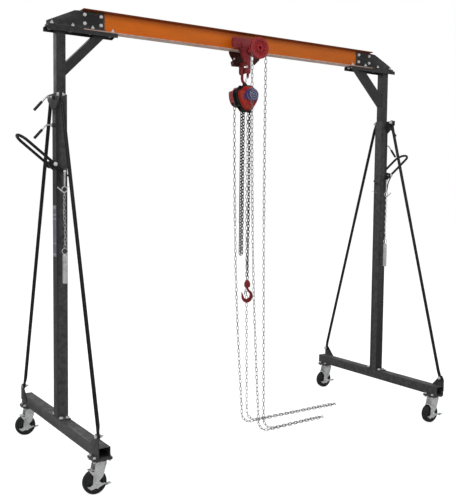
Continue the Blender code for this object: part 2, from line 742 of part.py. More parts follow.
def lift_chain(side, s):
    """Snap hook, chain, ring and lift pin that hang from the lever's stud."""
    stud_x, _, stud_z = lever_stud_point(s)
    y = LIFT_CHAIN_Y
    eye_z = stud_z - 0.0035
    chain_ends = [(stud_x, y, z) for z in (LIFT_RING_Z + 0.016, eye_z - 0.009)]
    chain = rod(f"lift_chain_{side}", *chain_ends, 0.006, 8, ZINC)
    eye = wire(f"chain_eye_{side}", ring_points((stud_x, y, eye_z), 0.0120, 12), 0.0033, cyclic=True)
    snap = wire(f"chain_snap_{side}", ring_points((stud_x, y, SNAP_Z), 0.016, 12), 0.004, cyclic=True)
    ring = wire(f"chain_ring_{side}", ring_points((stud_x, y, LIFT_RING_Z), 0.019, 14), 0.0035, cyclic=True)
    low, high = LIFT_PIN
    pin = rod(f"chain_pin_{side}", (stud_x, y, low), (stud_x, y, high + 0.002), LIFT_PIN_RADIUS, 16)
    unite(chain, eye, snap, ring, pin)
    return set_pivot(chain, (stud_x, y, stud_z))


# ---------------------------------------------------------------- trolley
def side_plate_loops(head):
    """Plate with a wide head for the track wheels, on a tongue that holds the suspension bar."""
    x = TROLLEY_X
    right, left = head[0][0], head[-1][0]
    corner = 0.010
    tongue = [
        (left, TONGUE_BOTTOM + corner), (left + corner, TONGUE_BOTTOM),
        (right - corner, TONGUE_BOTTOM), (right, TONGUE_BOTTOM + corner),
    ]
    wheel_hole = TRACK_STUB_RADIUS + 0.0002
    loops = [[*head, *tongue]]
    loops += [hole((x + sx * TRACK_WHEEL_X, track_wheel_z()), wheel_hole, 12) for sx in (-1, 1)]
    loops.append(hole((x, SUSPENSION_Z), SUSPENSION_RADIUS + GAP, 12))
    return loops


def track_wheel_z():
    return BEAM_BOTTOM + FLANGE_THICKNESS + GAP + TRACK_WHEEL_RADIUS


def trolley_front_plate():
    """Side plate that also carries the hand wheel's bearing tube and a bumper box."""
    y = -(SIDE_PLATE_Y + PLATE / 2)
    front = -(SIDE_PLATE_Y + PLATE)
    loops = side_plate_loops(FRONT_PLATE)
    loops.append(hole((TROLLEY_X, HAND_WHEEL_Z), HAND_SHAFT_BORE, 12))
    body = plate("trolley_plate_front", loops, PLATE, frame_xz(y), CRIMSON)
    bumper = block(
        "bumper",
        (BUMPER_X[0], front - BUMPER_REACH, BUMPER_Z[0]),
        (BUMPER_X[1], front + SINK, BUMPER_Z[1]),
    )
    ring = [(HAND_SHAFT_BORE, BEARING_LENGTH), (0.022, BEARING_LENGTH), (0.024, 0.0), (HAND_SHAFT_BORE, 0.0)]
    root = (TROLLEY_X, front + SINK, HAND_WHEEL_Z)
    bearing = turned("hand_wheel_bearing", ring, axis_along_y(root, -1), 16)
    return unite(body, bumper, bearing)


def trolley_rear_plate():
    y = SIDE_PLATE_Y + PLATE / 2
    return plate("trolley_plate_rear", side_plate_loops(REAR_PLATE), PLATE, frame_xz(y), CRIMSON)


def track_wheel(end, e, where, sx):
    """Wheel on the bottom flange, with a rim outside the flange and a stub axle in the plate."""
    r = TRACK_WHEEL_RADIUS
    rim = r + TRACK_WHEEL_RIM
    stub = TRACK_STUB_RADIUS
    # Heights run along the stub axle, away from the beam's web.
    profile = [
        (0.0, 0.056), (stub, 0.056), (stub, 0.0435), (rim - 0.002, 0.0435), (rim, 0.0420),
        (rim, 0.0400), (r, 0.0385), (r, 0.0140), (r - 0.002, 0.0120), (0.0, 0.0120),
    ]
    centre = (TROLLEY_X + sx * TRACK_WHEEL_X, 0, track_wheel_z())
    return spun(f"trolley_wheel_{end}_{where}", profile, axis_along_y(centre, e), 24, ZINC)


def suspension_bar():
    reach = SIDE_PLATE_Y + PLATE + 0.008
    ends = [(TROLLEY_X, e * reach, SUSPENSION_Z) for e in (-1, 1)]
    bar = rod("trolley_suspension_bar", *ends, SUSPENSION_RADIUS, 16, CRIMSON)
    tools = []
    for e in (-1, 1):
        ends = [(TROLLEY_X, e * y, SUSPENSION_Z) for y in (SPACER_INNER_Y, SIDE_PLATE_Y - GAP)]
        tools.append(rod(f"spacer_{e}", *ends, SPACER_RADIUS, 16))
    return unite(bar, *tools)


def hand_wheel():
    """Grooved hand wheel of the trolley, with its shaft."""
    rim = HAND_WHEEL_RADIUS
    shaft = HAND_SHAFT_RADIUS
    groove = HAND_WHEEL_PITCH - LINK_RADIUS - 0.004
    # Heights run towards -Y: the open face first, then the shaft behind it.
    profile = [
        (0.0, 0.018), (0.014, 0.018), (0.016, 0.012), (0.040, 0.008), (0.060, 0.015),
        (rim, 0.015), (rim, 0.011), (groove, 0.006), (groove, -0.006), (rim, -0.011), (rim, -0.015),
        (0.026, -0.012), (shaft, -0.018), (shaft, -0.140), (0.0, -0.140),
    ]
    centre = (TROLLEY_X, HAND_WHEEL_Y, HAND_WHEEL_Z)
    return spun("trolley_hand_wheel", profile, axis_along_y(centre, -1), 28, CRIMSON)


def chain_strands(x, y, wheel_z, foot_x, tail):
    """Both hanging sides of an endless hand chain, each from just under its wheel to the tail."""
    floor = LINK_RADIUS + GAP
    strands = []
    for side in (-1, 1):
        start_x = x + side * HAND_WHEEL_PITCH
        end_x = foot_x + side * CHAIN_FOOT_SPREAD
        end_y = y + side * CHAIN_FLOOR_SPREAD
        strand = []
        for i in range(1, 6):
            t = i / 6
            bow = t * t
            z = wheel_z + (CHAIN_BEND_Z - wheel_z) * t
            strand.append((start_x + (end_x - start_x) * bow, y + (end_y - y) * bow, z))
        bend = 0.060 + 0.018 * side
        strand += [(u, end_y, v) for u, v in arc((end_x + bend, floor + bend), bend, 180, 262, 5)]
        tail_x, tail_y = tail
        strand.append((tail_x - 0.020, tail_y + side * 0.010, floor))
        strand.append((tail_x - 0.004, tail_y + side * 0.007, floor))
        strands.append(strand)
    return strands


def over_wheel(x, y, wheel_z):
    return [(x + u, y, wheel_z + v) for u, v in arc((0, 0), HAND_WHEEL_PITCH, 180, 0, 9)]


def trolley_hand_chain():
    """Endless chain over the trolley's hand wheel, with its tail on the floor."""
    wheel = (TROLLEY_X, HAND_WHEEL_Y, HAND_WHEEL_Z)
    left, right = chain_strands(*wheel, TROLLEY_CHAIN_FOOT_X, TROLLEY_CHAIN_TAIL)
    points = left[::-1] + over_wheel(*wheel) + right
    points.append((*TROLLEY_CHAIN_TAIL, LINK_RADIUS + GAP))
    return wire("trolley_hand_chain", points, LINK_RADIUS, ZINC, cyclic=True)


def hoist_hand_chain():
    """Endless chain of the hoist, as an upper length that hangs from the hoist and a lower length
    that lies on the floor, meeting halfway down."""
    wheel = (HOIST_X, HOIST_WHEEL_Y, HOIST_WHEEL_Z)
    left, right = chain_strands(*wheel, HOIST_CHAIN_FOOT_X, HOIST_CHAIN_TAIL)
    half = 3
    upper = left[:half][::-1] + over_wheel(*wheel) + right[:half]
    chain = wire("hoist_hand_chain", upper, LINK_RADIUS, ZINC)
    joins = [(x, y, z - 0.002) for x, y, z in (left[half - 1], right[half - 1])]
    tip = (*HOIST_CHAIN_TAIL, LINK_RADIUS + GAP)
    lower = [joins[0], *left[half:], tip, *right[half:][::-1], joins[1]]
    return chain, wire("hoist_chain_tail", lower, LINK_RADIUS, ZINC)


# ---------------------------------------------------------------- hoist
def hoist_outline(grow):
    """Front view of the hoist's case: a narrow head, wide shoulders and a tapered foot."""
    shape = [
        (0.000, HOIST_TOP), (0.040, HOIST_TOP), (0.054, 2.672), (0.092, 2.650), (0.096, 2.620),
        (0.086, 2.580), (0.056, 2.526), (0.030, 2.500), (0.000, HOIST_BOTTOM),
    ]
    mid_z = 2.600
    right = [(u * (1 + grow / 0.095), mid_z + (z - mid_z) * (1 + grow / 0.10)) for u, z in shape]
    left = [(-u, z) for u, z in reversed(right[1:-1])]
    return [(HOIST_X + u, z) for u, z in right + left]


def hoist_frame():
    """Middle frame of the hoist with the chain guides under it."""
    near, far = FRAME_Y
    frame = plate("hoist_frame", [hoist_outline(0.003)], far - near, frame_xz((near + far) / 2), HOIST_BLACK)
    tools, bores = [], []
    for tag, x in (("load", LOAD_CHAIN_X), ("slack", SLACK_CHAIN_X)):
        ends = [(x, 0, HOIST_BOTTOM + z) for z in (-0.004, 0.041)]
        tools.append(rod(f"guide_{tag}", *ends, GUIDE_RADIUS, 12))
        ends = [(x, 0, HOIST_BOTTOM + z) for z in (-0.020, 0.030)]
        bores.append(rod(f"guide_bore_{tag}", *ends, GUIDE_BORE, 12))
    ends = [(TROLLEY_X, 0, HOIST_TOP + z) for z in (-0.010, 0.012)]
    tools.append(rod("hook_seat", *ends, HOOK_SEAT_RADIUS, 12))
    ends = [(TROLLEY_X, 0, HOIST_TOP + z) for z in (-0.008, 0.020)]
    bores.append(rod("hook_seat_bore", *ends, HOOK_SEAT_BORE, 12))
    unite(frame, *tools)
    return cut(frame, *bores)


def hoist_gear_cover():
    """Pressed cover of the gear side, with a round boss."""
    near, far = GEAR_COVER_FRONT, FRAME_Y[0] - GAP
    middle = frame_xz((near + far) / 2)
    cover = plate("hoist_gear_cover", [hoist_outline(-0.004)], far - near, middle, HOIST_RED)
    bevel = cover.modifiers.new("rounding", "BEVEL")
    bevel.width = 0.010
    bevel.segments = 2
    bevel.limit_method = "ANGLE"
    bevel.angle_limit = math.radians(60)
    bevel.use_clamp_overlap = True
    boss = [(0.0, 0.036), (0.034, 0.036), (0.041, 0.030), (0.043, 0.0), (0.0, 0.0)]
    root = (HOIST_X, near + 0.006, GEAR_BOSS_Z)
    return unite(cover, spun("gear_boss", boss, axis_along_y(root, -1), 20))


def hoist_wheel_cover():
    """Shell over the hoist's hand wheel, open underneath where the chain leaves it."""
    near, far = FRAME_Y[1] + GAP, WHEEL_COVER_REAR
    wall = WHEEL_COVER_WALL
    outer = [(HOIST_X + u, v) for u, v in (*WHEEL_COVER, *mirrored(WHEEL_COVER[::-1], -1))]
    top = WHEEL_COVER[-1][1]
    half = [(WHEEL_COVER[2][0] - wall, 2.500), *((u - wall, v) for u, v in WHEEL_COVER[2:-1])]
    half.append((WHEEL_COVER[-1][0] - wall, top - wall))
    inner = [(HOIST_X + u, v) for u, v in (*half, *mirrored(half[::-1], -1))]
    middle = (near + far) / 2
    cover = plate("hoist_wheel_cover", [outer], far - near, frame_xz(middle), HOIST_RED)
    pocket = plate("wheel_pocket", [inner], far - near - 2 * wall, frame_xz(middle))
    return cut(cover, pocket)


def hook_path(centre, radius, start_deg, end_deg, count):
    return [(u, 0.0, v) for u, v in arc(centre, radius, start_deg, end_deg, count)]


def hoist_top_hook():
    """Hook over the trolley's suspension bar, with a shank into the frame."""
    inner_top = SUSPENSION_Z + SUSPENSION_RADIUS + GAP
    radius = TOP_HOOK_RADIUS
    centre_z = inner_top + TOP_HOOK_WIRE - radius
    low_z = centre_z - 0.028
    points = [(TROLLEY_X, 0.0, HOIST_TOP - 0.006), (TROLLEY_X, 0.0, low_z - 0.030)]
    points += hook_path((TROLLEY_X, low_z), radius, -60, 0, 4)
    points += hook_path((TROLLEY_X, centre_z), radius, 0, 180, 9)
    points += hook_path((TROLLEY_X, low_z + 0.006), radius, 180, 215, 3)
    return wire("hoist_top_hook", points, TOP_HOOK_WIRE, CRIMSON, resolution=2)


def load_chain():
    """Load chain from the frame's guide to the hook block."""
    ends = [(LOAD_CHAIN_X, 0, z) for z in (HOOK_BLOCK[1] + 0.002, HOIST_BOTTOM + 0.028)]
    return rod("load_chain", *ends, LOAD_LINK_RADIUS, 8, CHAIN_BLACK)


def slack_chain():
    """Idle end of the load chain, hanging in a narrow loop."""
    half = SLACK_HALF_GAP
    radius = SLACK_LINK_RADIUS
    low, high = SLACK_CHAIN_BOTTOM + radius, HOIST_BOTTOM + 0.024
    points = [(SLACK_CHAIN_X - half, 0, high)]
    points += [(SLACK_CHAIN_X + u, 0, low + half + v) for u, v in arc((0, 0), half, 180, 360, 7)]
    points.append((SLACK_CHAIN_X + half, 0, high))
    return wire("slack_chain", points, radius, CHAIN_BLACK)


def hook_block():
    """Split block that joins the load chain to the swivelling hook."""
    low, high = HOOK_BLOCK
    profile = [
        (0.0, high), (0.012, high), (0.020, high - 0.010), (0.026, high - 0.030), (0.024, low + 0.008),
        (0.016, low), (0.0088, low), (0.0088, low + 0.016), (0.0, low + 0.016),
    ]
    return spun("hook_block", profile, Matrix.Translation((LOAD_CHAIN_X, 0, 0)), 16, CRIMSON)


def load_hook():
    """Swivelling hook, open towards -X."""
    x, z = LOAD_CHAIN_X - 0.004, HOOK_CENTRE_Z
    low = HOOK_BLOCK[0]
    points = [(LOAD_CHAIN_X, 0, low + 0.012), (LOAD_CHAIN_X, 0, low - 0.008), (x + 0.018, 0, z + 0.036)]
    points += hook_path((x, z), HOOK_RADIUS, 40, -180, 12)
    points += [(x - HOOK_RADIUS - 0.008, 0, z + 0.022)]
    thickest = 0.55
    taper = []
    for i in range(len(points)):
        t = i / (len(points) - 1)
        taper.append(max(0.56, 1.0 - 0.8 * abs(t - thickest) / thickest))
    hook = wire("load_hook", points, HOOK_THICKEST, CRIMSON, resolution=2, taper=taper)
    return set_pivot(hook, (LOAD_CHAIN_X, 0, low))


def latch_pivot():
    return (LOAD_CHAIN_X - 0.0155, HOOK_BLOCK[0] - 0.018)


def hook_latch():
    """Spring latch across the hook's throat."""
    px, pz = latch_pivot()
    end = (px - 0.0115, pz - 0.038)
    half, width = LATCH
    direction = Vector((end[0] - px, end[1] - pz)).normalized()
    normal = Vector((-direction.y, direction.x)) * half
    outline = [
        (px + normal.x, pz + normal.y), (end[0] + normal.x, end[1] + normal.y),
        (end[0] - normal.x, end[1] - normal.y), (px - normal.x, pz - normal.y),
    ]
    latch = plate("hook_latch", [outline], width, frame_xz(0), ZINC)
    return set_pivot(latch, (px, 0, pz))


# ---------------------------------------------------------------- build
def build():
    for side, s in SIDES.items():
        base_tube(side, s)
        outer_post(side, s)
        inner_post(side, s)
        head_channel(side, s)
        knee_strut(side, s)
        lift_lever(side, s)
        lift_chain(side, s)
        for level in CLAMP_Z:
            clamp_screw(level, side, s)
        for end, e in ENDS.items():
            brace(side, s, end, e)
            gusset(side, s, end, e)
            name = f"{end}_{side}"
            caster_fork(name, s * LEG_X, e * CASTER_Y)
            caster_wheel(name, s * LEG_X, e * CASTER_Y)
            caster_brake(name, s * LEG_X, e * CASTER_Y)
    i_beam()
    trolley_front_plate()
    trolley_rear_plate()
    for end, e in ENDS.items():
        for where, sx in SIDES.items():
            track_wheel(end, e, where, sx)
    suspension_bar()
    hand_wheel()
    trolley_hand_chain()
    hoist_top_hook()
    hoist_frame()
    hoist_gear_cover()
    hoist_wheel_cover()
    hoist_hand_chain()
    load_chain()
    slack_chain()
    hook_block()
    load_hook()
    hook_latch()


build()
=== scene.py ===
"""Looks of a portable gantry crane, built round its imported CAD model.

Lengths are millimetres, +Z up, in the frame of the CAD, and each mesh is scaled to metres as it is made.
X runs along the beam, Y along the base tubes.  Materials work in metres.
"""

import json
import math
import random

import bmesh
import bpy
from mathutils import Matrix, Vector


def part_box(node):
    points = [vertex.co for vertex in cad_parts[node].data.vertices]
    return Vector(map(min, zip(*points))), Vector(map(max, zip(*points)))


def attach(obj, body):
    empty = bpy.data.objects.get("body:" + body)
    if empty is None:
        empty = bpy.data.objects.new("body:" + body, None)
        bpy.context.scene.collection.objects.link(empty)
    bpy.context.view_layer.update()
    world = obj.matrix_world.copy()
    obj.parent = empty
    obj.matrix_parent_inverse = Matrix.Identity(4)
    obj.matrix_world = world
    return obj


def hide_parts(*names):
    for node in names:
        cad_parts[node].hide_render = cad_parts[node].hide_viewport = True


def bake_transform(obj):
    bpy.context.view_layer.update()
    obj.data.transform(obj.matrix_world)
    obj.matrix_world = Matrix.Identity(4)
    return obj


MM = 0.001
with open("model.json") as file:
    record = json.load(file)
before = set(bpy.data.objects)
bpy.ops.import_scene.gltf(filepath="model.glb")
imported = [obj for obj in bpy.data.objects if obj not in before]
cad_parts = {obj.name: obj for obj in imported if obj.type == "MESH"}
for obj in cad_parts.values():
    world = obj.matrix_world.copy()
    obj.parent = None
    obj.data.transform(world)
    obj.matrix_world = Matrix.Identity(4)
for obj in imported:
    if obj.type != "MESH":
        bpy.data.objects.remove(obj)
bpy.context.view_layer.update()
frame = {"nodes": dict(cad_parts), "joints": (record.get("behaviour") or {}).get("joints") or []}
JOINTS = {joint["name"]: joint for joint in frame["joints"]}
SIDES = {"left": -1, "right": 1}
ENDS = {"front": -1, "rear": 1}


def joint_point(name):
    """A joint's place at rest, in millimetres."""
    return Vector(JOINTS[name]["pos_m"]) / MM


# ---------------------------------------------------------------- materials
class Shader:
    """A Principled material under construction, in object coordinates (metres)."""

    def __init__(self, name):
        self.material = bpy.data.materials.new(name)
        self.material.use_nodes = True
        self.tree = self.material.node_tree
        self.bsdf = self.tree.nodes["Principled BSDF"]
        self.coords = self.node("TexCoord").outputs["Object"]

    def put(self, target, value):
        if isinstance(value, bpy.types.NodeSocket):
            self.tree.links.new(value, target)
        else:
            target.default_value = value

    def fill(self, node, values):
        for name, value in values.items():
            self.put(node.inputs[name.replace("_", " ")], value)

    def node(self, kind, **values):
        """A new node, with its inputs set to values or linked to sockets."""
        node = self.tree.nodes.new("ShaderNode" + kind)
        self.fill(node, values)
        return node

    def look(self, **values):
        """Set inputs of the Principled BSDF."""
        self.fill(self.bsdf, values)

    def noise(self, scale, detail=3.0, rough=0.55, stretch=(1, 1, 1)):
        mapping = self.node("Mapping", Scale=stretch, Vector=self.coords)
        place = mapping.outputs["Vector"]
        return self.node("TexNoise", Scale=scale, Detail=detail, Roughness=rough, Vector=place).outputs["Fac"]

    def spread(self, value, low, high, to_low=0.0, to_high=1.0):
        node = self.node("MapRange", From_Min=low, From_Max=high, To_Min=to_low, To_Max=to_high, Value=value)
        return node.outputs["Result"]

    def cloud(self, scale, low, high, to_low=0.0, to_high=1.0, detail=3.0, rough=0.55, stretch=(1, 1, 1)):
        """Noise whose stretch from low to high is spread over a new range."""
        return self.spread(self.noise(scale, detail, rough, stretch), low, high, to_low, to_high)

    def mix(self, factor, a, b):
        """Colour a where the factor is 0 and b where it is 1.  Each may be a colour or a socket."""
        node = self.node("Mix")
        node.data_type = "RGBA"
        self.put(node.inputs[0], factor)
        for socket, colour in ((node.inputs[6], a), (node.inputs[7], b)):
            self.put(socket, (*colour, 1.0) if isinstance(colour, tuple) else colour)
        return node.outputs[2]

    def multiply(self, a, b):
        node = self.node("Math")
        node.operation = "MULTIPLY"
        self.put(node.inputs[0], a)
        self.put(node.inputs[1], b)
        return node.outputs[0]

    def vector_math(self, operation, a, b=(0, 0, 0)):
        node = self.node("VectorMath")
        node.operation = operation
        self.put(node.inputs[0], a)
        self.put(node.inputs[1], b)
        return node.outputs["Value" if operation == "LENGTH" else "Vector"]

    def height(self, low, high):
        """0 below one height and 1 above the other, in the CAD's Z."""
        return self.spread(self.node("SeparateXYZ", Vector=self.coords).outputs["Z"], low, high)

    def facing_up(self, low, high):
        """1 on faces that look straight up, 0 on upright ones and on undersides."""
        normal = self.node("NewGeometry").outputs["Normal"]
        return self.spread(self.node("SeparateXYZ", Vector=normal).outputs["Z"], low, high)

    def wear(self, low, high, scale, least, most):
        """Up to 1 on outer edges, in patches, and 0 on flat faces."""
        edges = self.spread(self.node("NewGeometry").outputs["Pointiness"], low, high)
        return self.multiply(edges, self.cloud(scale, 0.30, 0.60, least, most))

    def bump(self, scale, detail, strength, distance, base=None):
        height = self.noise(scale, detail)
        node = self.node("Bump", Strength=strength, Distance=distance, Height=height)
        if base is not None:
            self.put(node.inputs["Normal"], base)
        self.look(Normal=node.outputs["Normal"])
        return node.outputs["Normal"]


def tinted(colour, factor):
    return tuple(min(1.0, channel * factor) for channel in colour)


def paint(name, colour, edge_colour, roughness, coat, top_light=None):
    """Sprayed paint: orange peel, slow changes of tone, dull patches, lighter edges, and painted light on top
    faces.
    """
    shader = Shader(name)
    tone = shader.cloud(2.5, 0.35, 0.65, detail=4.0)
    patches = shader.cloud(60.0, 0.50, 0.75, 0.0, 0.4, 5.0, 0.7)
    film = shader.mix(tone, tinted(colour, 0.93), tinted(colour, 1.06))
    film = shader.mix(patches, film, tinted(colour, 1.18))
    if top_light is not None:
        # Painted light: a paler grey, in patches, on faces that look up, for the light falling from above.
        top_light_patches = shader.cloud(9.0, 0.25, 0.70, 0.55, 1.0, 5.0, 0.6)
        film = shader.mix(shader.multiply(shader.facing_up(0.7, 0.95), top_light_patches), film, top_light)
    shader.look(
        Base_Color=shader.mix(shader.wear(0.515, 0.58, 28.0, 0.25, 1.0), film, edge_colour),
        Roughness=shader.cloud(14.0, 0.3, 0.7, roughness - 0.07, roughness + 0.09, 5.0),
        Specular_IOR_Level=0.30, Coat_Weight=coat, Coat_Roughness=0.22,
    )
    shader.bump(700.0, 2.0, 0.10, 0.0004)
    return shader.material


def beam_paint(name, colour, top_flange_shade, floor_reflection_colour):
    """Sprayed beam: painted shade on the top flange's edge and underside, and a painted pale reflection of
    the floor on the bottom flange.
    """
    shader = Shader(name)
    top_flange, reflection_band_top = (3.068, 3.081), (2.9535, 2.9555)
    tone = shader.cloud(3.0, 0.35, 0.65, 0.0, 1.0, 5.0, 0.6, (0.6, 1, 2))
    streak = shader.cloud(26.0, 0.50, 0.75, 0.0, 0.45, 5.0, 0.7, (0.15, 1, 1))
    film = shader.mix(tone, tinted(colour, 0.88), tinted(colour, 1.10))
    film = shader.mix(streak, film, tinted(colour, 0.72))
    # Painted shade: dark brown on the top flange's faces that don't look up, its edge and its underside.
    above = shader.height(*top_flange)
    upper = shader.multiply(above, shader.spread(shader.facing_up(0.3, 0.8), 0.0, 1.0, 1.0, 0.0))
    film = shader.mix(shader.multiply(upper, 0.85), film, top_flange_shade)
    # Painted reflection: pale streaks on the bottom flange, for the white floor seen in it.
    lower = shader.spread(shader.height(*reflection_band_top), 0.0, 1.0, 1.0, 0.0)
    painted_reflection = shader.multiply(lower, shader.cloud(40.0, 0.30, 0.60, 0.55, 0.95, 5.0, 0.7, (0.2, 1, 1)))
    film = shader.mix(painted_reflection, film, floor_reflection_colour)
    shader.look(
        Base_Color=shader.mix(shader.wear(0.515, 0.58, 28.0, 0.15, 0.7), film, tinted(top_flange_shade, 1.4)),
        Roughness=shader.cloud(14.0, 0.3, 0.7, 0.32, 0.46, 5.0),
        Specular_IOR_Level=0.25, Coat_Weight=0.05, Coat_Roughness=0.25,
    )
    shader.bump(500.0, 2.0, 0.08, 0.0004)
    return shader.material


def zinc(name, colour, roughness, metallic):
    """Bright zinc plate with a fine spangle and slightly darker stains."""
    shader = Shader(name)
    spangle = shader.cloud(160.0, 0.35, 0.65, detail=2.0)
    stain = shader.cloud(18.0, 0.52, 0.72, 0.0, 0.6, 5.0, 0.65)
    plated = shader.mix(spangle, tinted(colour, 0.88), tinted(colour, 1.14))
    shader.look(
        Base_Color=shader.mix(stain, plated, (0.34, 0.33, 0.31)),
        Roughness=shader.cloud(45.0, 0.3, 0.7, roughness - 0.08, roughness + 0.14, 4.0),
        Metallic=metallic,
    )
    shader.bump(420.0, 3.0, 0.08, 0.0004)
    return shader.material


def rubber(name, colour, roughness=0.62):
    """Rubber or moulded plastic, scuffed paler in patches."""
    shader = Shader(name)
    scuff = shader.cloud(70.0, 0.45, 0.75, 0.0, 0.8, 6.0, 0.7)
    shader.look(
        Base_Color=shader.mix(scuff, colour, tinted(colour, 2.6)),
        Roughness=shader.cloud(30.0, 0.3, 0.7, roughness - 0.08, roughness + 0.12),
    )
    shader.bump(900.0, 3.0, 0.20, 0.0003)
    return shader.material


def cast_paint(name, colour, edge_colour, roughness):
    """Paint over a casting or pressing: rougher bump under the film, and worn lighter edges."""
    shader = Shader(name)
    tone = shader.cloud(22.0, 0.35, 0.65, detail=5.0)
    grime = shader.cloud(75.0, 0.52, 0.72, 0.0, 0.7, 6.0, 0.7)
    film = shader.mix(tone, tinted(colour, 0.80), tinted(colour, 1.15))
    film = shader.mix(grime, film, tinted(colour, 0.45))
    shader.look(
        Base_Color=shader.mix(shader.wear(0.51, 0.57, 60.0, 0.3, 1.0), film, edge_colour),
        Roughness=shader.cloud(40.0, 0.3, 0.7, roughness - 0.06, roughness + 0.12, 5.0),
        Specular_IOR_Level=0.25, Coat_Weight=0.08, Coat_Roughness=0.18,
    )
    casting = shader.bump(180.0, 4.0, 0.16, 0.0008)
    shader.bump(900.0, 2.0, 0.06, 0.0003, casting)
    return shader.material


def black_steel(name, colour, roughness, metallic):
    """Blackened steel with a paler bloom."""
    shader = Shader(name)
    bloom = shader.cloud(90.0, 0.40, 0.70, detail=4.0)
    shader.look(
        Base_Color=shader.mix(bloom, colour, tinted(colour, 1.9)),
        Roughness=shader.cloud(60.0, 0.3, 0.7, roughness - 0.10, roughness + 0.12, 4.0),
        Metallic=metallic, Specular_IOR_Level=0.25,
    )
    shader.bump(500.0, 3.0, 0.12, 0.0003)
    return shader.material


def generic_badge(name, centre):
    """Plain round badge: a blue disc with a violet rim and pale arcs, and no lettering."""
    shader = Shader(name)
    offset = shader.vector_math("SUBTRACT", shader.coords, centre)
    flat = shader.vector_math("MULTIPLY", offset, (1, 0, 1))
    rim = shader.spread(shader.vector_math("LENGTH", flat), 0.041, 0.052)
    band = shader.node("TexWave", Scale=22.0, Distortion=3.5, Detail=2.0, Vector=flat)
    band.wave_type = "RINGS"
    band.rings_direction = "Y"
    pale = shader.spread(band.outputs["Fac"], 0.62, 0.80, 0.0, 0.75)
    print_colour = shader.mix(pale, (0.035, 0.035, 0.20), (0.60, 0.62, 0.78))
    shader.look(
        Base_Color=shader.mix(rim, print_colour, (0.10, 0.03, 0.17)),
        Roughness=shader.cloud(80.0, 0.3, 0.7, 0.28, 0.42),
    )
    shader.bump(400.0, 3.0, 0.05, 0.0003)
    return shader.material


# Paler grey painted on the black coat's top faces as the light from above.
TOP_LIGHT_GREY = (0.28, 0.28, 0.28)
BLACK_COAT = paint("black_powder_coat", (0.0270, 0.0270, 0.0275), (0.09, 0.09, 0.092), 0.42, 0.06, TOP_LIGHT_GREY)
ROD_BLACK = paint("rod_black_paint", (0.0070, 0.0070, 0.0073), (0.05, 0.05, 0.052), 0.40, 0.06)
# Its second colour is painted shade for the top flange's edge and underside.
# Its third colour is a painted reflection of the floor on the bottom flange.
ORANGE = beam_paint("orange_beam_paint", (0.90, 0.205, 0.012), (0.085, 0.018, 0.006), (1.0, 0.84, 0.74))
ZINC = zinc("zinc_plate", (0.86, 0.87, 0.88), 0.30, 0.55)
ZINC_BOLT = zinc("bright_bolts", (1.0, 1.0, 1.0), 0.40, 0.10)
ZINC_CHAIN = zinc("zinc_chain", (0.27, 0.27, 0.275), 0.34, 0.6)
ZINC_LINKS = zinc("bright_lift_chain", (0.80, 0.80, 0.81), 0.34, 0.45)
LABEL_VIOLET = paint("label_violet", (0.13, 0.12, 0.20), (0.25, 0.24, 0.32), 0.45, 0.1)
LABEL_PALE = paint("label_pale", (0.55, 0.55, 0.62), (0.40, 0.40, 0.46), 0.45, 0.1)
TREAD = rubber("tread_rubber", (0.012, 0.012, 0.013))
GRIP = rubber("handle_grip", (0.014, 0.014, 0.015), 0.5)
HUB = rubber("wheel_hub_plastic", (0.040, 0.041, 0.043), 0.46)
CRIMSON = cast_paint("crimson_paint", (0.26, 0.004, 0.010), (0.50, 0.10, 0.11), 0.36)
# A brighter copy of the crimson, painted as the light falling on the hand wheel from the front.
LIT_WHEEL_RED = cast_paint("hand_wheel_painted_light", (0.44, 0.012, 0.018), (0.65, 0.16, 0.17), 0.34)
# A darker copy of the crimson, painted as the shade on the rear side plate and its axle nuts.
SHADE_RED = cast_paint("rear_plate_painted_shade", (0.035, 0.006, 0.004), (0.12, 0.04, 0.03), 0.46)
HOIST_RED = cast_paint("hoist_red_paint", (0.50, 0.012, 0.008), (0.85, 0.22, 0.12), 0.30)
HOIST_BLACK = black_steel("hoist_frame_paint", (0.018, 0.021, 0.018), 0.42, 0.2)
LOAD_BLACK = black_steel("blackened_chain", (0.006, 0.006, 0.007), 0.42, 0.0)
SLOTS = {
    "black_powder_coat": (BLACK_COAT, ROD_BLACK, LABEL_VIOLET, LABEL_PALE),
    "orange_paint": (ORANGE,),
    "zinc_plate": (ZINC, ZINC_CHAIN, ZINC_BOLT, ZINC_LINKS),
    "crimson_paint": (CRIMSON, LIT_WHEEL_RED, SHADE_RED),
    "caster_tyre": (TREAD, GRIP, HUB),
    "hoist_red_paint": (HOIST_RED,),
    "hoist_black_paint": (HOIST_BLACK,),
    "black_alloy_chain": (LOAD_BLACK,),
}
SLOT_OF = {material: slot for slot, materials in SLOTS.items() for material in materials}


# ---------------------------------------------------------------- outlines and frames
def arc(centre, radius, start_deg, end_deg, count):
    points = []
    for i in range(count):
        angle = math.radians(start_deg + (end_deg - start_deg) * i / (count - 1))
        points.append((centre[0] + radius * math.cos(angle), centre[1] + radius * math.sin(angle)))
    return points


def circle(centre, radius, count):
    """A closed ring of points, turned a little so that none lies on an axis."""
    phase = 4
    return arc(centre, radius, phase, phase + 360 - 360 / count, count)


def mirrored(points):
    return [(-u, v) for u, v in points]


def frame_xz(y):
    """A plane across Y: its first direction is X, its second is Z."""
    return Matrix(((1, 0, 0, 0), (0, 0, -1, y), (0, 1, 0, 0), (0, 0, 0, 1)))


def frame_along(origin, direction):
    """Local Z points along a direction, from an origin."""
    turn = Vector(direction).to_track_quat("Z", "Y").to_matrix().to_4x4()
    return Matrix.Translation(origin) @ turn


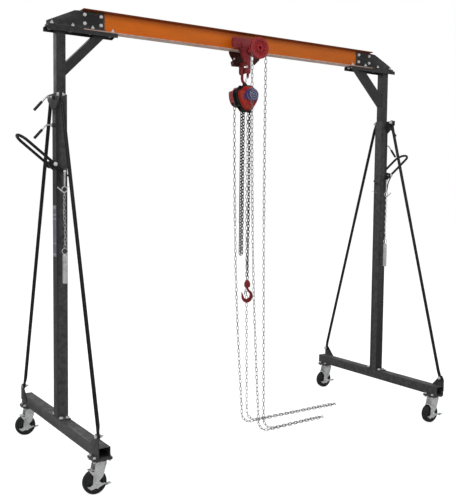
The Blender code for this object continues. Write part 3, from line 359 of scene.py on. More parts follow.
def smooth_path(points, steps=6):
    """A Catmull-Rom curve through the points."""
    points = [Vector(point) for point in points]
    padded = [2 * points[0] - points[1], *points, 2 * points[-1] - points[-2]]
    path = []
    for a, b, c, d in zip(padded, padded[1:], padded[2:], padded[3:]):
        for i in range(steps):
            t = i / steps
            cubic = (2 * a - 5 * b + 4 * c - d) * t * t + (3 * b - a - 3 * c + d) * t**3
            path.append(0.5 * (2 * b + (c - a) * t + cubic))
    path.append(points[-1])
    return path


def square_to(vector, axis):
    """The part of a vector that is square to a unit axis, with length 1."""
    return (vector - axis * vector.dot(axis)).normalized()


# ---------------------------------------------------------------- pieces
def add_object(name, data):
    obj = bpy.data.objects.new(name, data)
    bpy.context.scene.collection.objects.link(obj)
    return obj


def soften(obj, width, segments, angle):
    """Round the edges that are sharper than an angle."""
    modifier = obj.modifiers.new("soft_edges", "BEVEL")
    modifier.width = width * MM
    modifier.segments = segments
    modifier.limit_method = "ANGLE"
    modifier.angle_limit = math.radians(angle)
    modifier.harden_normals = True


def dress(node, material, bevel, segments=3):
    """Give a CAD node its finish and rounded edges, and leave its shape."""
    obj = frame["nodes"][node]
    obj.data.materials.clear()
    obj.data.materials.append(material)
    obj.modifiers.new("weld", "WELD").merge_threshold = 0.01 * MM
    flat = obj.modifiers.new("flat_faces", "DECIMATE")
    flat.decimate_type = "DISSOLVE"
    flat.angle_limit = math.radians(1)
    soften(obj, bevel, segments, 38)
    obj.data.shade_smooth()


def place(name, mesh, material, replaces):
    """An object for a mesh made in millimetres, in place of CAD nodes."""
    mesh.transform(Matrix.Scale(MM, 4))
    mesh.shade_smooth()
    mesh.materials.append(material)
    obj = add_object(name, mesh)
    if replaces:
        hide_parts(*replaces)
    return obj


class Solid:
    """A mesh under construction, in millimetres, that becomes one piece of the crane."""

    def __init__(self):
        self.bm = bmesh.new()

    def skin(self, rings, closed=False):
        """Faces between neighbouring rings of points.  A ring of one point is a tip."""
        pairs = list(zip(rings, rings[1:]))
        if closed:
            pairs.append((rings[-1], rings[0]))
        for a, b in pairs:
            count = max(len(a), len(b))
            for i in range(count if count > 1 else 0):
                j = (i + 1) % count
                corners = (a[i % len(a)], a[j % len(a)], b[j % len(b)], b[i % len(b)])
                self.bm.faces.new(tuple(dict.fromkeys(corners)))

    def block(self, low, high, turn=None):
        made = bmesh.ops.create_cube(self.bm, size=1.0)["verts"]
        low, high = Vector(low), Vector(high)
        bmesh.ops.scale(self.bm, vec=[abs(b - a) for a, b in zip(low, high)], verts=made)
        bmesh.ops.translate(self.bm, vec=(low + high) / 2, verts=made)
        if turn is not None:
            bmesh.ops.transform(self.bm, matrix=turn, verts=made)

    def lathe(self, profile, matrix, segments=32, closed=False):
        """A solid of revolution.  Points of radius 0 close on the axis; a closed profile is a ring."""
        rings = []
        for radius, height in profile:
            turns = [2 * math.pi * i / segments for i in range(segments if radius else 1)]
            points = [Vector((radius * math.cos(t), radius * math.sin(t), height)) for t in turns]
            rings.append([self.bm.verts.new(matrix @ point) for point in points])
        self.skin(rings, closed)

    def loft(self, outlines):
        """A closed shell through outlines of equal length."""
        rings = [[self.bm.verts.new(point) for point in outline] for outline in outlines]
        self.skin(rings)
        self.bm.faces.new(rings[0])
        self.bm.faces.new(rings[-1])

    def sweep(self, points, radii, sides=12, closed=False, domed=False):
        """A round bar along a path.  Its radius is a number or a pair, or a list of these for its points."""
        points = [Vector(point) for point in points]
        radii = radii if isinstance(radii, list) else [radii] * len(points)
        radii = [radius if isinstance(radius, tuple) else (radius, radius) for radius in radii]
        before = points[-1:] if closed else points[:1]
        after = points[:1] if closed else points[-1:]
        tangents = [(b - a).normalized() for a, b in zip(before + points[:-1], points[1:] + after)]
        seed = Vector((0, 1, 0)) if abs(tangents[0].y) < 0.9 else Vector((1, 0, 0))
        normal = square_to(seed, tangents[0])
        turns = [2 * math.pi * k / sides for k in range(sides)]
        rings = []
        for point, tangent, (a, b) in zip(points, tangents, radii):
            normal = square_to(normal, tangent)
            across = tangent.cross(normal)
            ring = [point + normal * a * math.cos(t) + across * b * math.sin(t) for t in turns]
            rings.append([self.bm.verts.new(corner) for corner in ring])
        self.skin(rings, closed)
        if not closed:
            bulge = 0.6 if domed else 0
            for end, outward in ((0, -1), (-1, 1)):
                tip = points[end] + tangents[end] * outward * radii[end][0] * bulge
                self.skin([rings[end], [self.bm.verts.new(tip)]])

    def plate(self, loops, thickness, matrix):
        """A flat piece centred on the matrix's XY plane: an outer loop, then its holes."""
        curve = bpy.data.curves.new("plate", "CURVE")
        curve.dimensions = "2D"
        curve.fill_mode = "BOTH"
        curve.extrude = thickness / 2
        for loop in loops:
            spline = curve.splines.new("POLY")
            spline.points.add(len(loop) - 1)
            for point, (u, v) in zip(spline.points, loop):
                point.co = (u, v, 0, 1)
            spline.use_cyclic_u = True
        obj = add_object("plate", curve)
        bpy.context.view_layer.update()
        mesh = bpy.data.meshes.new_from_object(obj.evaluated_get(bpy.context.evaluated_depsgraph_get()))
        mesh.transform(matrix)
        part = bmesh.new()
        part.from_mesh(mesh)
        bmesh.ops.remove_doubles(part, verts=part.verts, dist=0.001)
        bmesh.ops.dissolve_limit(
            part, angle_limit=math.radians(1), verts=part.verts, edges=part.edges, delimit={"NORMAL"}
        )
        part.to_mesh(mesh)
        part.free()
        self.bm.from_mesh(mesh)
        bpy.data.objects.remove(obj, do_unlink=True)
        bpy.data.meshes.remove(mesh)

    def rod(self, start, end, radius, segments=24, chamfer=0):
        start, end = Vector(start), Vector(end)
        length = (end - start).length
        profile = [(0, 0), (radius, 0), (radius, length), (0, length)]
        if chamfer:
            flat = radius - chamfer
            profile[1:3] = [(flat, 0), (radius, chamfer), (radius, length - chamfer), (flat, length)]
        self.lathe(profile, frame_along(start, end - start), segments)

    def hexagon(self, base, direction, across, height):
        """Hexagon head or nut with a chamfered top, standing on its base point."""
        radius = across / math.sqrt(3)
        profile = [(0, 0), (radius, 0), (radius, height * 0.78), (radius * 0.86, height), (0, height)]
        self.lathe(profile, frame_along(base, direction), 6)

    def washer(self, base, direction, radius, height):
        profile = [(0, 0), (radius, 0), (radius, height * 0.6), (radius * 0.93, height), (0, height)]
        self.lathe(profile, frame_along(base, direction), 24)

    def bolt_head(self, base, direction, size, thickness=0.64):
        """A washer and a hexagon for a thread of one size, the hexagon's thickness as a share of it."""
        direction = Vector(direction)
        self.washer(base, direction, size * 1.05, size * 0.18)
        self.hexagon(Vector(base) + direction * size * 0.18, direction, size * 1.7, size * thickness)

    def bolt(self, start, end, size, stub):
        """Hexagon bolt through a joint: head at start, and at end a nut and a bare stub of thread."""
        start, end = Vector(start), Vector(end)
        run = (end - start).normalized()
        nut = 0.8
        self.bolt_head(start, -run, size)
        self.bolt_head(end, run, size, nut)
        self.thread(end, end + run * (size * (0.18 + nut) + stub), size / 2)

    def thread(self, start, end, radius, pitch=1.6):
        """Threaded rod as close-set ridges."""
        start, end = Vector(start), Vector(end)
        length = (end - start).length
        turns = max(2, round(length / pitch))
        profile = [(0, 0), (radius * 0.84, 0)]
        for i in range(turns):
            z = length * (i + 0.25) / turns
            profile += [(radius, z), (radius * 0.86, z + length * 0.5 / turns)]
        profile += [(radius * 0.7, length), (0, length)]
        self.lathe(profile, frame_along(start, end - start), 12)

    def weld(self, start, end, radius, seed):
        """A fillet weld: overlapping ripples along a seam."""
        start, end = Vector(start), Vector(end)
        ripple = 3.2
        count = max(4, int((end - start).length / ripple))
        rng = random.Random(seed)
        points = [start + (end - start) * i / count for i in range(count + 1)]
        radii = [radius * (0.82 + 0.30 * (i % 2) + 0.10 * rng.random()) for i in range(count + 1)]
        self.sweep(points, radii, 8, domed=True)

    def piece(self, name, material, body, bevel=0, segments=2, angle=32, replaces=()):
        """Turn the solid into a piece that rides on a body."""
        self.bm.normal_update()
        bmesh.ops.recalc_face_normals(self.bm, faces=self.bm.faces)
        mesh = bpy.data.meshes.new(name)
        self.bm.to_mesh(mesh)
        self.bm.free()
        obj = place(name, mesh, material, replaces)
        mesh.set_sharp_from_angle(angle=math.radians(angle))
        if bevel:
            soften(obj, bevel, segments, angle)
        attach(obj, body)


# ---------------------------------------------------------------- frames
POST_X, POST_HALF = 1473, 38
OUTER_FACE = POST_X + POST_HALF


def tube_frames():
    for side in SIDES:
        for tube in ("base_tube", "outer_post", "inner_post", "knee_strut"):
            dress(f"{tube}_{side}", BLACK_COAT, 2.8)
        dress(f"head_channel_{side}", BLACK_COAT, 2)
        for end in ENDS:
            dress(f"gusset_{end}_{side}", BLACK_COAT, 1.2, 2)
    dress("i_beam", ORANGE, 1.6)


def brace(side, s, end, e):
    """Round tube pressed flat at both ends, where its bolts go through."""
    low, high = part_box(f"brace_{end}_{side}")
    x_tube = (low.x + high.x) / 2 / MM
    x_flat = s * 1501.2
    radius, flat_wide, flat_thick = 12.5, 15.2, 8.4
    top = Vector((x_tube, e * 96, 2493))
    foot = Vector((x_tube, e * 720, 368))
    run = (top - foot).normalized()
    length = (top - foot).length
    # Distance from the foot, and how round the tube is there.
    stations = [(-18, 0), (-12, 0), (22, 0), (34, 0.15), (52, 0.75), (66, 1)]
    stations += [(length - distance, share) for distance, share in reversed(stations)]
    points, radii = [], []
    for i, (distance, share) in enumerate(stations):
        point = foot + run * distance
        points.append((x_flat + (x_tube - x_flat) * share, point.y, point.z))
        narrow = 0.7 if i in (0, len(stations) - 1) else 1
        wide = (flat_wide + (radius - flat_wide) * share) * narrow
        radii.append((wide, flat_thick + (radius - flat_thick) * share))
    solid = Solid()
    solid.sweep(points, radii, 20)
    body = f"lower_frame_{side}"
    solid.piece(f"brace_tube_{end}_{side}", ROD_BLACK, body, replaces=(f"brace_{end}_{side}",))
    solid = Solid()
    for point in (top, foot):
        solid.bolt((s * 1516.2, point.y, point.z), (x_flat - s * 8.6, point.y, point.z), 11.5, 12)
    solid.piece(f"brace_bolts_{end}_{side}", ZINC_BOLT, body)


def frame_welds(side, s):
    """Welds of a post to its base tube and plates, and of the lugs and the lever's bracket."""
    solid = Solid()
    tube_top, plate_face = 310.6, s * 1511.6
    ring = [(-1, -1), (1, -1), (1, 1), (-1, 1)]
    for a, b in zip(ring, ring[1:] + ring[:1]):
        ends = [(s * POST_X + u * POST_HALF, v * POST_HALF, tube_top) for u, v in (a, b)]
        solid.weld(*ends, 3.2, 3)
    for e in ENDS.values():
        solid.weld((s * 1511.2, e * 37.2, 2412), (s * 1511.2, e * 37.2, 2500), 2.8, 5)
        solid.weld((s * 1512.8, e * 637, 304.2), (s * 1512.8, e * 745, 304.2), 3, 7)
        for inner in (-1, 1):
            y = e * 32.5 + inner * 2.8
            solid.weld((plate_face, y, 2006), (plate_face, y, 2060), 2, 9)
    solid.piece(f"welds_{side}", BLACK_COAT, f"lower_frame_{side}", angle=80)


def frame_bolts(side, s):
    """Bolts of the post's foot and of the caster plates."""
    x = s * POST_X
    solid = Solid()
    for e in ENDS.values():
        for u in (-23, 23):
            solid.bolt_head((x + u, e * 66, 310.8), (0, 0, 1), 13)
        for u in (-50.5, 50.5):
            for v in (-36, 36):
                y = e * 678 + v
                solid.bolt((x + u, y, 231.2), (x + u, y, 214.3), 10.5, 0)
    solid.piece(f"frame_bolts_{side}", ZINC_BOLT, f"lower_frame_{side}")


def post_details(side, s):
    """Outer webs of the lever's bracket between its ears, the height pin and its wire clip."""
    body = f"lower_frame_{side}"
    solid = Solid()
    solid.block((s * 1512, -30, 2006), (s * 1516, 30, 2060))
    solid.block((s * 1540, -34.5, 2010), (s * 1544, 34.5, 2056))
    solid.piece(f"lever_bracket_{side}", BLACK_COAT, body, bevel=1)

    inner_face, pin_z = s * (POST_X - POST_HALF), 1965
    solid = Solid()
    solid.rod((inner_face + s * 2, 0, pin_z), (inner_face - s * 30, 0, pin_z), 7.5, 20, 1.2)
    solid.washer((inner_face, 0, pin_z), (-s, 0, 0), 13, 2)
    solid.piece(f"height_pin_{side}", BLACK_COAT, body)

    wire = ((2, 0, 0), (-14, 0, 0), (-32, 3, 6), (-50, 6, 10), (-58, 8, 5))
    path = [(inner_face + s * u, v - 4, 1885 + w) for u, v, w in wire]
    solid = Solid()
    solid.sweep(smooth_path(path, 5), 1.6, 8, domed=True)
    solid.piece(f"wire_clip_{side}", ZINC, body)


def blank_label():
    """Plain adhesive strip on the left post, with pale bands and no print."""
    solid = Solid()
    solid.block((-OUTER_FACE - 0.7, -31, 1412), (-OUTER_FACE, 33, 1762))
    solid.piece("blank_label", LABEL_VIOLET, "lower_frame_left")
    solid = Solid()
    for start, end in ((1420, 1438), (1500, 1508), (1664, 1676), (1692, 1704), (1736, 1760)):
        solid.block((-OUTER_FACE - 1.2, -28, start), (-OUTER_FACE - 0.5, 30, end))
    solid.piece("blank_label_bands", LABEL_PALE, "lower_frame_left")


def beam_end_details(side, s):
    """Bolts of the gussets and of the head channel, and the welds of the knee strut."""
    solid = Solid()
    for x in (1178, 1296):
        for z in (2993, 3052):
            solid.bolt((s * x, -8.3, z), (s * x, 8.3, z), 12, 6)
    channel_under, channel_top, packer_top, packer_end = 2940.6, 2954.1, 2959.4, 1152
    for x in (1098, 1244, 1387, 1533):
        top = channel_top if x < packer_end else packer_top
        for e in ENDS.values():
            solid.bolt((s * x, e * 24, channel_under), (s * x, e * 24, top), 12, 10)
    solid.piece(f"beam_bolts_{side}", ZINC_BOLT, "upper_frame")

    solid = Solid()
    for e in ENDS.values():
        solid.weld((s * 1440.4, e * 30.2, 2632), (s * 1440.4, e * 30.2, 2714), 3, 11)
        solid.weld((s * 1130, e * 30.2, 2940.2), (s * 1212, e * 30.2, 2940.2), 3, 12)
        solid.weld((s * 1442, e * 32.2, 2940.2), (s * 1504, e * 32.2, 2940.2), 3, 13)
    solid.piece(f"knee_welds_{side}", BLACK_COAT, "upper_frame", angle=80)


# ---------------------------------------------------------------- casters
def caster_fork(name, x, y, axle):
    """A pressed crown with rounded corners, two tapering legs with folded edges, and two races."""
    solid = Solid()
    crown = [(30, -32), (36, -24), (36, 24), (30, 32), (-30, 32), (-40, 22), (-40, -22), (-30, -32)]
    solid.plate([[(x + u, y + v) for u, v in crown]], 4.5, Matrix.Translation((0, 0, 200.5)))
    for leg in (-1, 1):
        leg_y = y + leg * 30.6
        outline = [(x + 31, 202.5), (x + 29, 186), (x + 16, 142), (x + 6, 110)]
        outline += arc((axle.x, axle.z), 23, 28, -205, 16)
        outline += [(x - 56, 112), (x - 50, 150), (x - 44, 180), (x - 38, 202.5)]
        solid.plate([outline], 4, frame_xz(leg_y))
        fold = [(x + u, leg_y, z) for u, z in ((30, 198), (28, 184), (15, 142), (4, 108))]
        solid.sweep(smooth_path(fold, 5), 2.7, 8, domed=True)
    races = [(0, 198.5), (28.5, 198.5), (30, 200.5), (30, 203), (27.2, 204.5), (26.6, 205.5)]
    races += [(29.2, 207), (29.6, 210.5), (27, 212.5), (25.5, 214.2), (0, 214.2)]
    solid.lathe(races, Matrix.Translation((x, y, 0)), 40)
    solid.piece(f"fork_{name}", ZINC, f"caster_{name}", bevel=0.8, replaces=(f"caster_fork_{name}",))


def caster_bolts(name, x, y, axle):
    """Axle bolt, a second pin that ties the legs together, and the king pin's nut."""
    solid = Solid()
    solid.bolt((axle.x, y + 32.8, axle.z), (axle.x, y - 38.8, axle.z), 10, 4)
    solid.rod((axle.x, y - 31, axle.z), (axle.x, y + 31, axle.z), 6, 16)
    for leg in (-1, 1):
        rivet = frame_along((axle.x - 12, y + leg * 32.4, axle.z + 34), (0, leg, 0))
        solid.lathe([(0, 0), (6.2, 0), (5, 3), (0, 4.2)], rivet, 16)
    solid.hexagon((x, y, 198), (0, 0, -1), 16, 7)
    solid.piece(f"fork_bolts_{name}", ZINC, f"caster_{name}")


def caster_wheel(name, axle):
    """A rounded tread, and a moulded hub with ribs between two rims."""
    body = f"caster_roll_{name}"
    turn = frame_along(axle, (0, 1, 0))
    tread = [(56, 21.5), (60, 23.5), (70, 22.3), (74.2, 17.5), (76, 9.5)]
    bore = [(54.5, -17.5), (54.5, 17.5)]
    solid = Solid()
    solid.lathe(tread + [(r, -z) for r, z in reversed(tread)] + bore, turn, 64, closed=True)
    solid.piece(f"tyre_{name}", TREAD, body, angle=50, replaces=(f"caster_wheel_{name}",))

    hub = [(8.8, 25), (16.5, 25), (18, 23.5), (19, 12), (46, 10), (48.5, 19), (54.5, 20)]
    solid = Solid()
    solid.lathe(hub + [(55, 0)] + [(r, -z) for r, z in reversed(hub)], turn, 64, closed=True)
    for i in range(6):
        spin = turn @ Matrix.Rotation(math.pi * i / 3, 4, "Z")
        for face in (-1, 1):
            solid.block((17.5, -1.6, face * 10), (48, 1.6, face * 18.5), spin)
    solid.piece(f"hub_{name}", HUB, body, bevel=0.6)


def caster_brake(name, y, axle):
    """A flat lever on the axle with a turned-out pedal, a lock pad and a folded tail."""
    front = y - 35.2

    def about_axle(points):
        return [(axle.x + u, axle.z + v) for u, v in points]

    lever = [(-58, -12), (-56, -20), (-40, -34), (-26, -36), (-4, -30), (6, -36), (20, -26), (38, -20)]
    lever += [(56, -13), (57, -5), (38, -6), (24, 4)] + arc((0, 0), 20, 25, 170, 9) + [(-24, -6), (-40, -16)]
    pedal = [(54, -11.5), (68, -7), (86, -3.5), (88, -6.5), (70, -11), (54, -15.5)]
    tail = [(-58, -12), (-55, -12), (-36, -30.5), (-38, -33.5), (-58, -18)]
    solid = Solid()
    solid.plate([about_axle(lever), about_axle(circle((0, 0), 9, 20))], 3.6, frame_xz(front))
    solid.plate([about_axle(pedal)], 28, frame_xz(front - 10))
    solid.plate([about_axle(tail)], 16, frame_xz(front - 6))
    solid.piece(f"brake_{name}", ZINC, f"caster_pedal_{name}", bevel=0.7, replaces=(f"caster_brake_{name}",))


def caster_guard(name, x, y):
    """Bent guard over the tread, fixed to the fork."""
    arm = [(-38, 146), (-48, 146), (-80, 158), (-82, 155), (-54, 118), (-42, 118)]
    cover = [(-82, 155.3), (-80, 158.5), (-50, 160), (-50, 157.2)]
    solid = Solid()
    solid.plate([[(x + u, z) for u, z in arm]], 3, frame_xz(y - 34.2))
    solid.plate([[(x + u, z) for u, z in cover]], 46, frame_xz(y - 12))
    solid.piece(f"guard_{name}", ZINC, f"caster_{name}", bevel=0.7)


def caster(name):
    pivot = joint_point(f"caster_swivel_{name}")
    axle = joint_point(f"wheel_spin_{name}")
    caster_fork(name, pivot.x, pivot.y, axle)
    caster_bolts(name, pivot.x, pivot.y, axle)
    caster_wheel(name, axle)
    caster_brake(name, pivot.y, axle)
    caster_guard(name, pivot.x, pivot.y)


# ---------------------------------------------------------------- clamp screws, levers and lift pins
def clamp_screw(level, side, s):
    """A threaded rod with its lock nut, bent down into a handle with a ribbed grip."""
    pivot = joint_point(f"clamp_turn_{level}_{side}")
    z = pivot.z
    bend = abs(pivot.x)
    body = f"clamp_{level}_{side}"
    path = [(1530, 0), (bend - 8, 0), (bend + 1, -1.2), (bend + 8, -7), (bend + 20, -19), (bend + 40, -42)]
    solid = Solid()
    solid.sweep(smooth_path([(s * u, 0, z + v) for u, v in path], 5), 5.6, 14)
    solid.thread((s * 1506, 0, z), (s * 1544, 0, z), 5.6)
    solid.hexagon((s * 1528.5, 0, z), (s, 0, 0), 17, 8)
    solid.piece(f"screw_{level}_{side}", ZINC, body, replaces=(f"clamp_screw_{level}_{side}",))

    start = Vector((s * (bend + 32), 0, z - 32.5))
    end = Vector((s * (bend + 86), 0, z - 93))
    length = (end - start).length
    ribs = 8
    profile = [(0, 0), (6, 0), (8.8, 3)]
    for i in range(ribs):
        base = 6 + (length - 14) * i / ribs
        profile += [(9.4, base), (9.4, base + 4.2), (8.8, base + 5.4)]
    profile += [(9.6, length - 8), (9.6, length - 2), (8, length), (0, length + 1)]
    solid = Solid()
    solid.lathe(profile, frame_along(start, end - start), 24)
    solid.piece(f"screw_grip_{level}_{side}", GRIP, body, angle=50)


def lever_point(side, s, distance, y):
    """A point of the lever's plane, at a distance from its pivot along its slope."""
    pivot = joint_point(f"lever_lift_{side}")
    rise = math.radians(38.5)
    return Vector((pivot.x + s * distance * math.cos(rise), y, pivot.z + distance * math.sin(rise)))


def lift_lever(side, s):
    """Bent bar with flattened pivots, its pin and the stud for the chain."""
    pivot = joint_point(f"lever_lift_{side}")
    half, reach = 66, 229
    straight = (-86, -40, 50, 140, reach - 20)
    points = [lever_point(side, s, d, -half) for d in straight]
    for i in range(1, 12):
        angle = math.pi * i / 12
        points.append(lever_point(side, s, reach + half * math.sin(angle), -half * math.cos(angle)))
    points += [lever_point(side, s, d, half) for d in reversed(straight)]
    solid = Solid()
    solid.sweep(smooth_path(points, 4), 9.8, 18, domed=True)
    boss = [(0, -8.5), (14, -8.5), (15.8, -6.5), (15.8, 6.5), (14, 8.5), (0, 8.5)]
    for e in ENDS.values():
        solid.lathe(boss, frame_along((pivot.x, e * half, pivot.z), (0, 1, 0)), 28)
    # Curved finger that keeps the snap hook off the post.
    stud = lever_point(side, s, -76, 0)
    finger = [(70, 46), (56, 20), (36, -18), (26, -60), (20, -98)]
    path = [(stud.x + s * u, 1 - half, stud.z + v) for u, v in finger]
    solid.sweep(smooth_path(path, 5), (3, 6.2), 12, domed=True)
    solid.piece(f"lever_bar_{side}", ROD_BLACK, f"lever_{side}", angle=50, replaces=(f"lift_lever_{side}",))

    solid = Solid()
    solid.rod((pivot.x, -77, pivot.z), (pivot.x, 77, pivot.z), 5.8, 20, 0.8)
    head = [(0, 0), (13.5, 0), (13.8, 2.4), (10.5, 7), (5, 9.2), (0, 9.6)]
    for e in ENDS.values():
        solid.lathe(head, frame_along((pivot.x, e * 74.8, pivot.z), (0, e, 0)), 28)
    solid.rod((stud.x, -half, stud.z), (stud.x, -86.2, stud.z), 4.8, 16, 0.6)
    cap = [(0, 0), (10.2, 0), (10.2, 2), (7.4, 4.4), (0, 5)]
    solid.lathe(cap, frame_along((stud.x, -86, stud.z), (0, -1, 0)), 20)
    solid.piece(f"lever_pins_{side}", ZINC_BOLT, f"lever_{side}")


def lift_pin(side, s):
    """Strap, snap hook, chain, ring and pin that hang from the lever."""
    stud = joint_point(f"lift_chain_hang_{side}")
    body = f"lift_pin_{side}"
    x, y = stud.x, stud.y
    foot = stud.z - 100
    strap = arc((x, stud.z), 7.2, -20, 200, 12)
    strap += [(x - 5, foot + 4)] + arc((x, foot), 5, 200, 340, 7) + [(x + 5, foot + 4)]
    solid = Solid()
    solid.plate([strap, circle((x, stud.z), 4.6, 16), circle((x, foot), 3, 12)], 3, frame_xz(y))
    solid.piece(f"chain_strap_{side}", ZINC, body, bevel=0.5, replaces=(f"lift_chain_{side}",))

    ring_z = stud.z - 120
    gate = [(x + s * u, y + v, ring_z + w) for u, v, w in ((4, 0, -22), (24, -3, -8), (50, -4, 14))]
    solid = Solid()
    solid.sweep([(u, y + 0.8, v) for u, v in circle((x, ring_z), 19, 28)], 3.2, 10, closed=True)
    solid.sweep(smooth_path(gate, 5), 4.6, 10, domed=True)
    solid.rod((x + 10, y - 5, ring_z - 13), (x + 10, y + 5, ring_z - 13), 4.2, 16, 0.8)
    solid.piece(f"snap_hook_{side}", ZINC, body, angle=50)

    low_ring = 1455
    top, low = ring_z - 17, low_ring + 18
    path = [(x, y, top)]
    for i in range(1, 12):
        t = i / 12
        drift = s * 3 * math.sin(2 * math.pi * t)
        path.append((x + drift, y + 2 * math.sin(5 * t), top + (low - top) * t))
    path.append((x, y, low))
    links = chain_mesh(f"lift_links_{side}", smooth_path(path, 4), LIFT_LINK, 40, 21, 10)
    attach(place(f"lift_links_{side}", links, ZINC_LINKS, ()), body)

    solid = Solid()
    solid.sweep([(u, y, v) for u, v in circle((x, low_ring), 19.5, 32)], 2.6, 10, closed=True)
    profile = [(0, 1237), (12, 1237), (15.5, 1241), (16, 1246)]
    profile += [(16, 1426), (14.5, 1432), (10, 1434.5), (0, 1434.5)]
    solid.lathe(profile, Matrix.Translation((x, y, 0)), 32)
    solid.rod((x - 10.5, y, 1430), (x + 10.5, y, 1430), 3, 12)
    solid.piece(f"lift_pin_{side}", ZINC, body, angle=50)


# ---------------------------------------------------------------- trolley
# The side plates' outlines, with the corner beside the hoist's tab and the end of the tab in common.
LIP = ((38, 2926), (41, 2933), (48, 2936))
TAB = ((27, 2777), (34, 2780), (38, 2789))
FRONT_OUTLINE = (
    *LIP, (104, 2940), (111, 2943), (114, 2951), (114, 3034), (111, 3040), (104, 3043), (-74, 3046),
    (-80, 3040), (-77, 2956), (-66, 2944), (-37, 2885), (-8, 2846), (-4, 2838), (-4, 2789), (0, 2780),
    (8, 2777), *TAB,
)
REAR_OUTLINE = (
    *LIP, (124, 2932), (128, 2925), (130, 2878), (134, 2870), (141, 2868), (185, 2910), (187, 2917),
    (187, 3030), (183, 3038), (175, 3043), (-90, 3046), (-99, 3038), (-99, 2962), (-93, 2924), (-66, 2886),
    (-67, 2880), (-80, 2872), (-82, 2866), (-75, 2841), (-70, 2837), (-6, 2839), (-2, 2834), (-2, 2789),
    (2, 2780), (10, 2777), *TAB,
)
FRONT_FOLD = ((-74.5, 3036), (-71.5, 2956), (-61.5, 2940), (-33.5, 2884), (-3, 2843))
REAR_FOLD = ((-94, 3030), (-94.5, 2962), (-88.5, 2926), (-61, 2888))
PLATE_FACE = 51


def trolley_plate(name, e, outline, fold, film, gap_bolt):
    """A pressed side plate with folded edges, its axle nuts and the bolt that sets its gap."""
    swing = joint_point("hoist_swing")
    wheel_z = joint_point("track_wheel_spin_front_left").z
    face = e * PLATE_FACE
    solid = Solid()
    solid.plate([outline], 6, frame_xz(e * 48))
    solid.sweep(smooth_path([(u, face, v) for u, v in fold], 6), 4.6, 10, domed=True)
    for u in (0.5, 33.5):
        solid.sweep([(u, face, z) for z in (2905, 2830, 2794)], 3.4, 10, domed=True)
    if e > 0:
        # Anti-drop shelf turned in under the beam.
        solid.block((-74, 16, 2837.5), (-6, 46, 2842.5))
        solid.block((-79, 16, 2844), (-74, 46, 2870))
    solid.piece(f"side_plate_{name}", film, "trolley", bevel=1.4, replaces=(f"trolley_plate_{name}",))

    solid = Solid()
    for sx in (-62, 62):
        solid.washer((swing.x + sx, face, wheel_z), (0, e, 0), 14, 2)
        solid.hexagon((swing.x + sx, face + e * 2, wheel_z), (0, e, 0), 19, 8.5)
    solid.piece(f"axle_nuts_{name}", film, "trolley")
    x, y, z = gap_bolt
    solid = Solid()
    solid.hexagon(gap_bolt, (0, -1, 0), 17, 8)
    solid.thread(gap_bolt, (x, y - 15, z), 5)
    solid.piece(f"gap_bolt_{name}", ZINC_BOLT, "trolley")
    solid = Solid()
    solid.washer((swing.x, face, 2800), (0, e, 0), 16, 2.2)
    solid.hexagon((swing.x, face + e * 2.2, 2800), (0, e, 0), 21, 8)
    solid.piece(f"bar_nut_{name}", CRIMSON, "trolley")


def bumper_and_bearing():
    """Boxed bumper, the hand wheel's bearing and the arms that keep its chain in the groove."""
    front = -PLATE_FACE
    hand = joint_point("hand_wheel_spin")
    box = [(-140, 2968), (-133, 2960), (-80, 2960), (-73, 2968)]
    box += [(-73, 3025), (-81, 3033), (-132, 3033), (-140, 3025)]
    solid = Solid()
    solid.plate([box], 34, frame_xz(front - 16.5))
    bearing = [(9, 0), (30, 0), (30, 5), (24, 9), (21.5, 20), (20.5, 94), (22.5, 98), (22.5, 111), (9, 111)]
    solid.lathe(bearing, frame_along((hand.x, front, hand.z), (0, -1, 0)), 40, closed=True)
    for u, v in arc((hand.x, hand.z), 24.5, 90, 330, 3):
        solid.hexagon((u, front - 5.2, v), (0, -1, 0), 8, 4)
    # Guide arm that keeps the hand chain in the wheel's groove.
    for lift in (-26, 16):
        arm = [(-20, -66, lift * 0.4), (-56, -92, lift), (-80, -118, lift), (-84, -134, lift)]
        path = [(hand.x + u, front + v, hand.z + w) for u, v, w in arm]
        solid.sweep(smooth_path(path, 6), 6, 10, domed=True)
    # Stub of the chain guide on the other side.
    solid.rod((100, front + 1, 2946), (150, front - 40, 2941), 6, 16, 1)
    solid.piece("bumper_and_bearing", CRIMSON, "trolley", bevel=2, segments=3, angle=40)


def track_wheels():
    profile = [
        (0, 56), (6.8, 56), (7, 55), (7, 43.7), (15, 43.7), (16.5, 42.5), (26, 42), (34.5, 43), (36, 42),
        (36, 40.4), (30.5, 39), (30, 38), (30, 14.5), (28.5, 12.5), (16, 12.5), (15, 15), (0, 15),
    ]
    for end, e in ENDS.items():
        for where in SIDES:
            name = f"{end}_{where}"
            centre = joint_point(f"track_wheel_spin_{name}")
            solid = Solid()
            solid.lathe(profile, frame_along((centre.x, 0, centre.z), (0, e, 0)), 48)
            body = f"track_wheel_{name}"
            solid.piece(body, ZINC, body, angle=40, replaces=(f"trolley_wheel_{name}",))


def suspension():
    """The bar that the hoist hangs from, its spacers and cheeks, and the spacer tube above it."""
    x, _, z = joint_point("hoist_swing")
    solid = Solid()
    solid.rod((x, -51, z), (x, 51, z), 11, 32)
    spacer = [(0, 14), (15.8, 14), (17, 15.2), (17, 43), (15.8, 44.6), (0, 44.6)]
    for e in ENDS.values():
        solid.lathe(spacer, frame_along((x, 0, z), (0, e, 0)), 32)
        # Cheeks that hold the bar's spacers between the plates.
        solid.block((x - 20, e * 38.5, z + 12), (x + 17, e * 44.6, z + 48))
    # Spacer tube over the bar, where the side plates are bolted together.
    solid.rod((13, -45, 2857), (13, 45, 2857), 17, 28, 1)
    solid.piece("suspension_bar", CRIMSON, "trolley", bevel=1, replaces=("trolley_suspension_bar",))


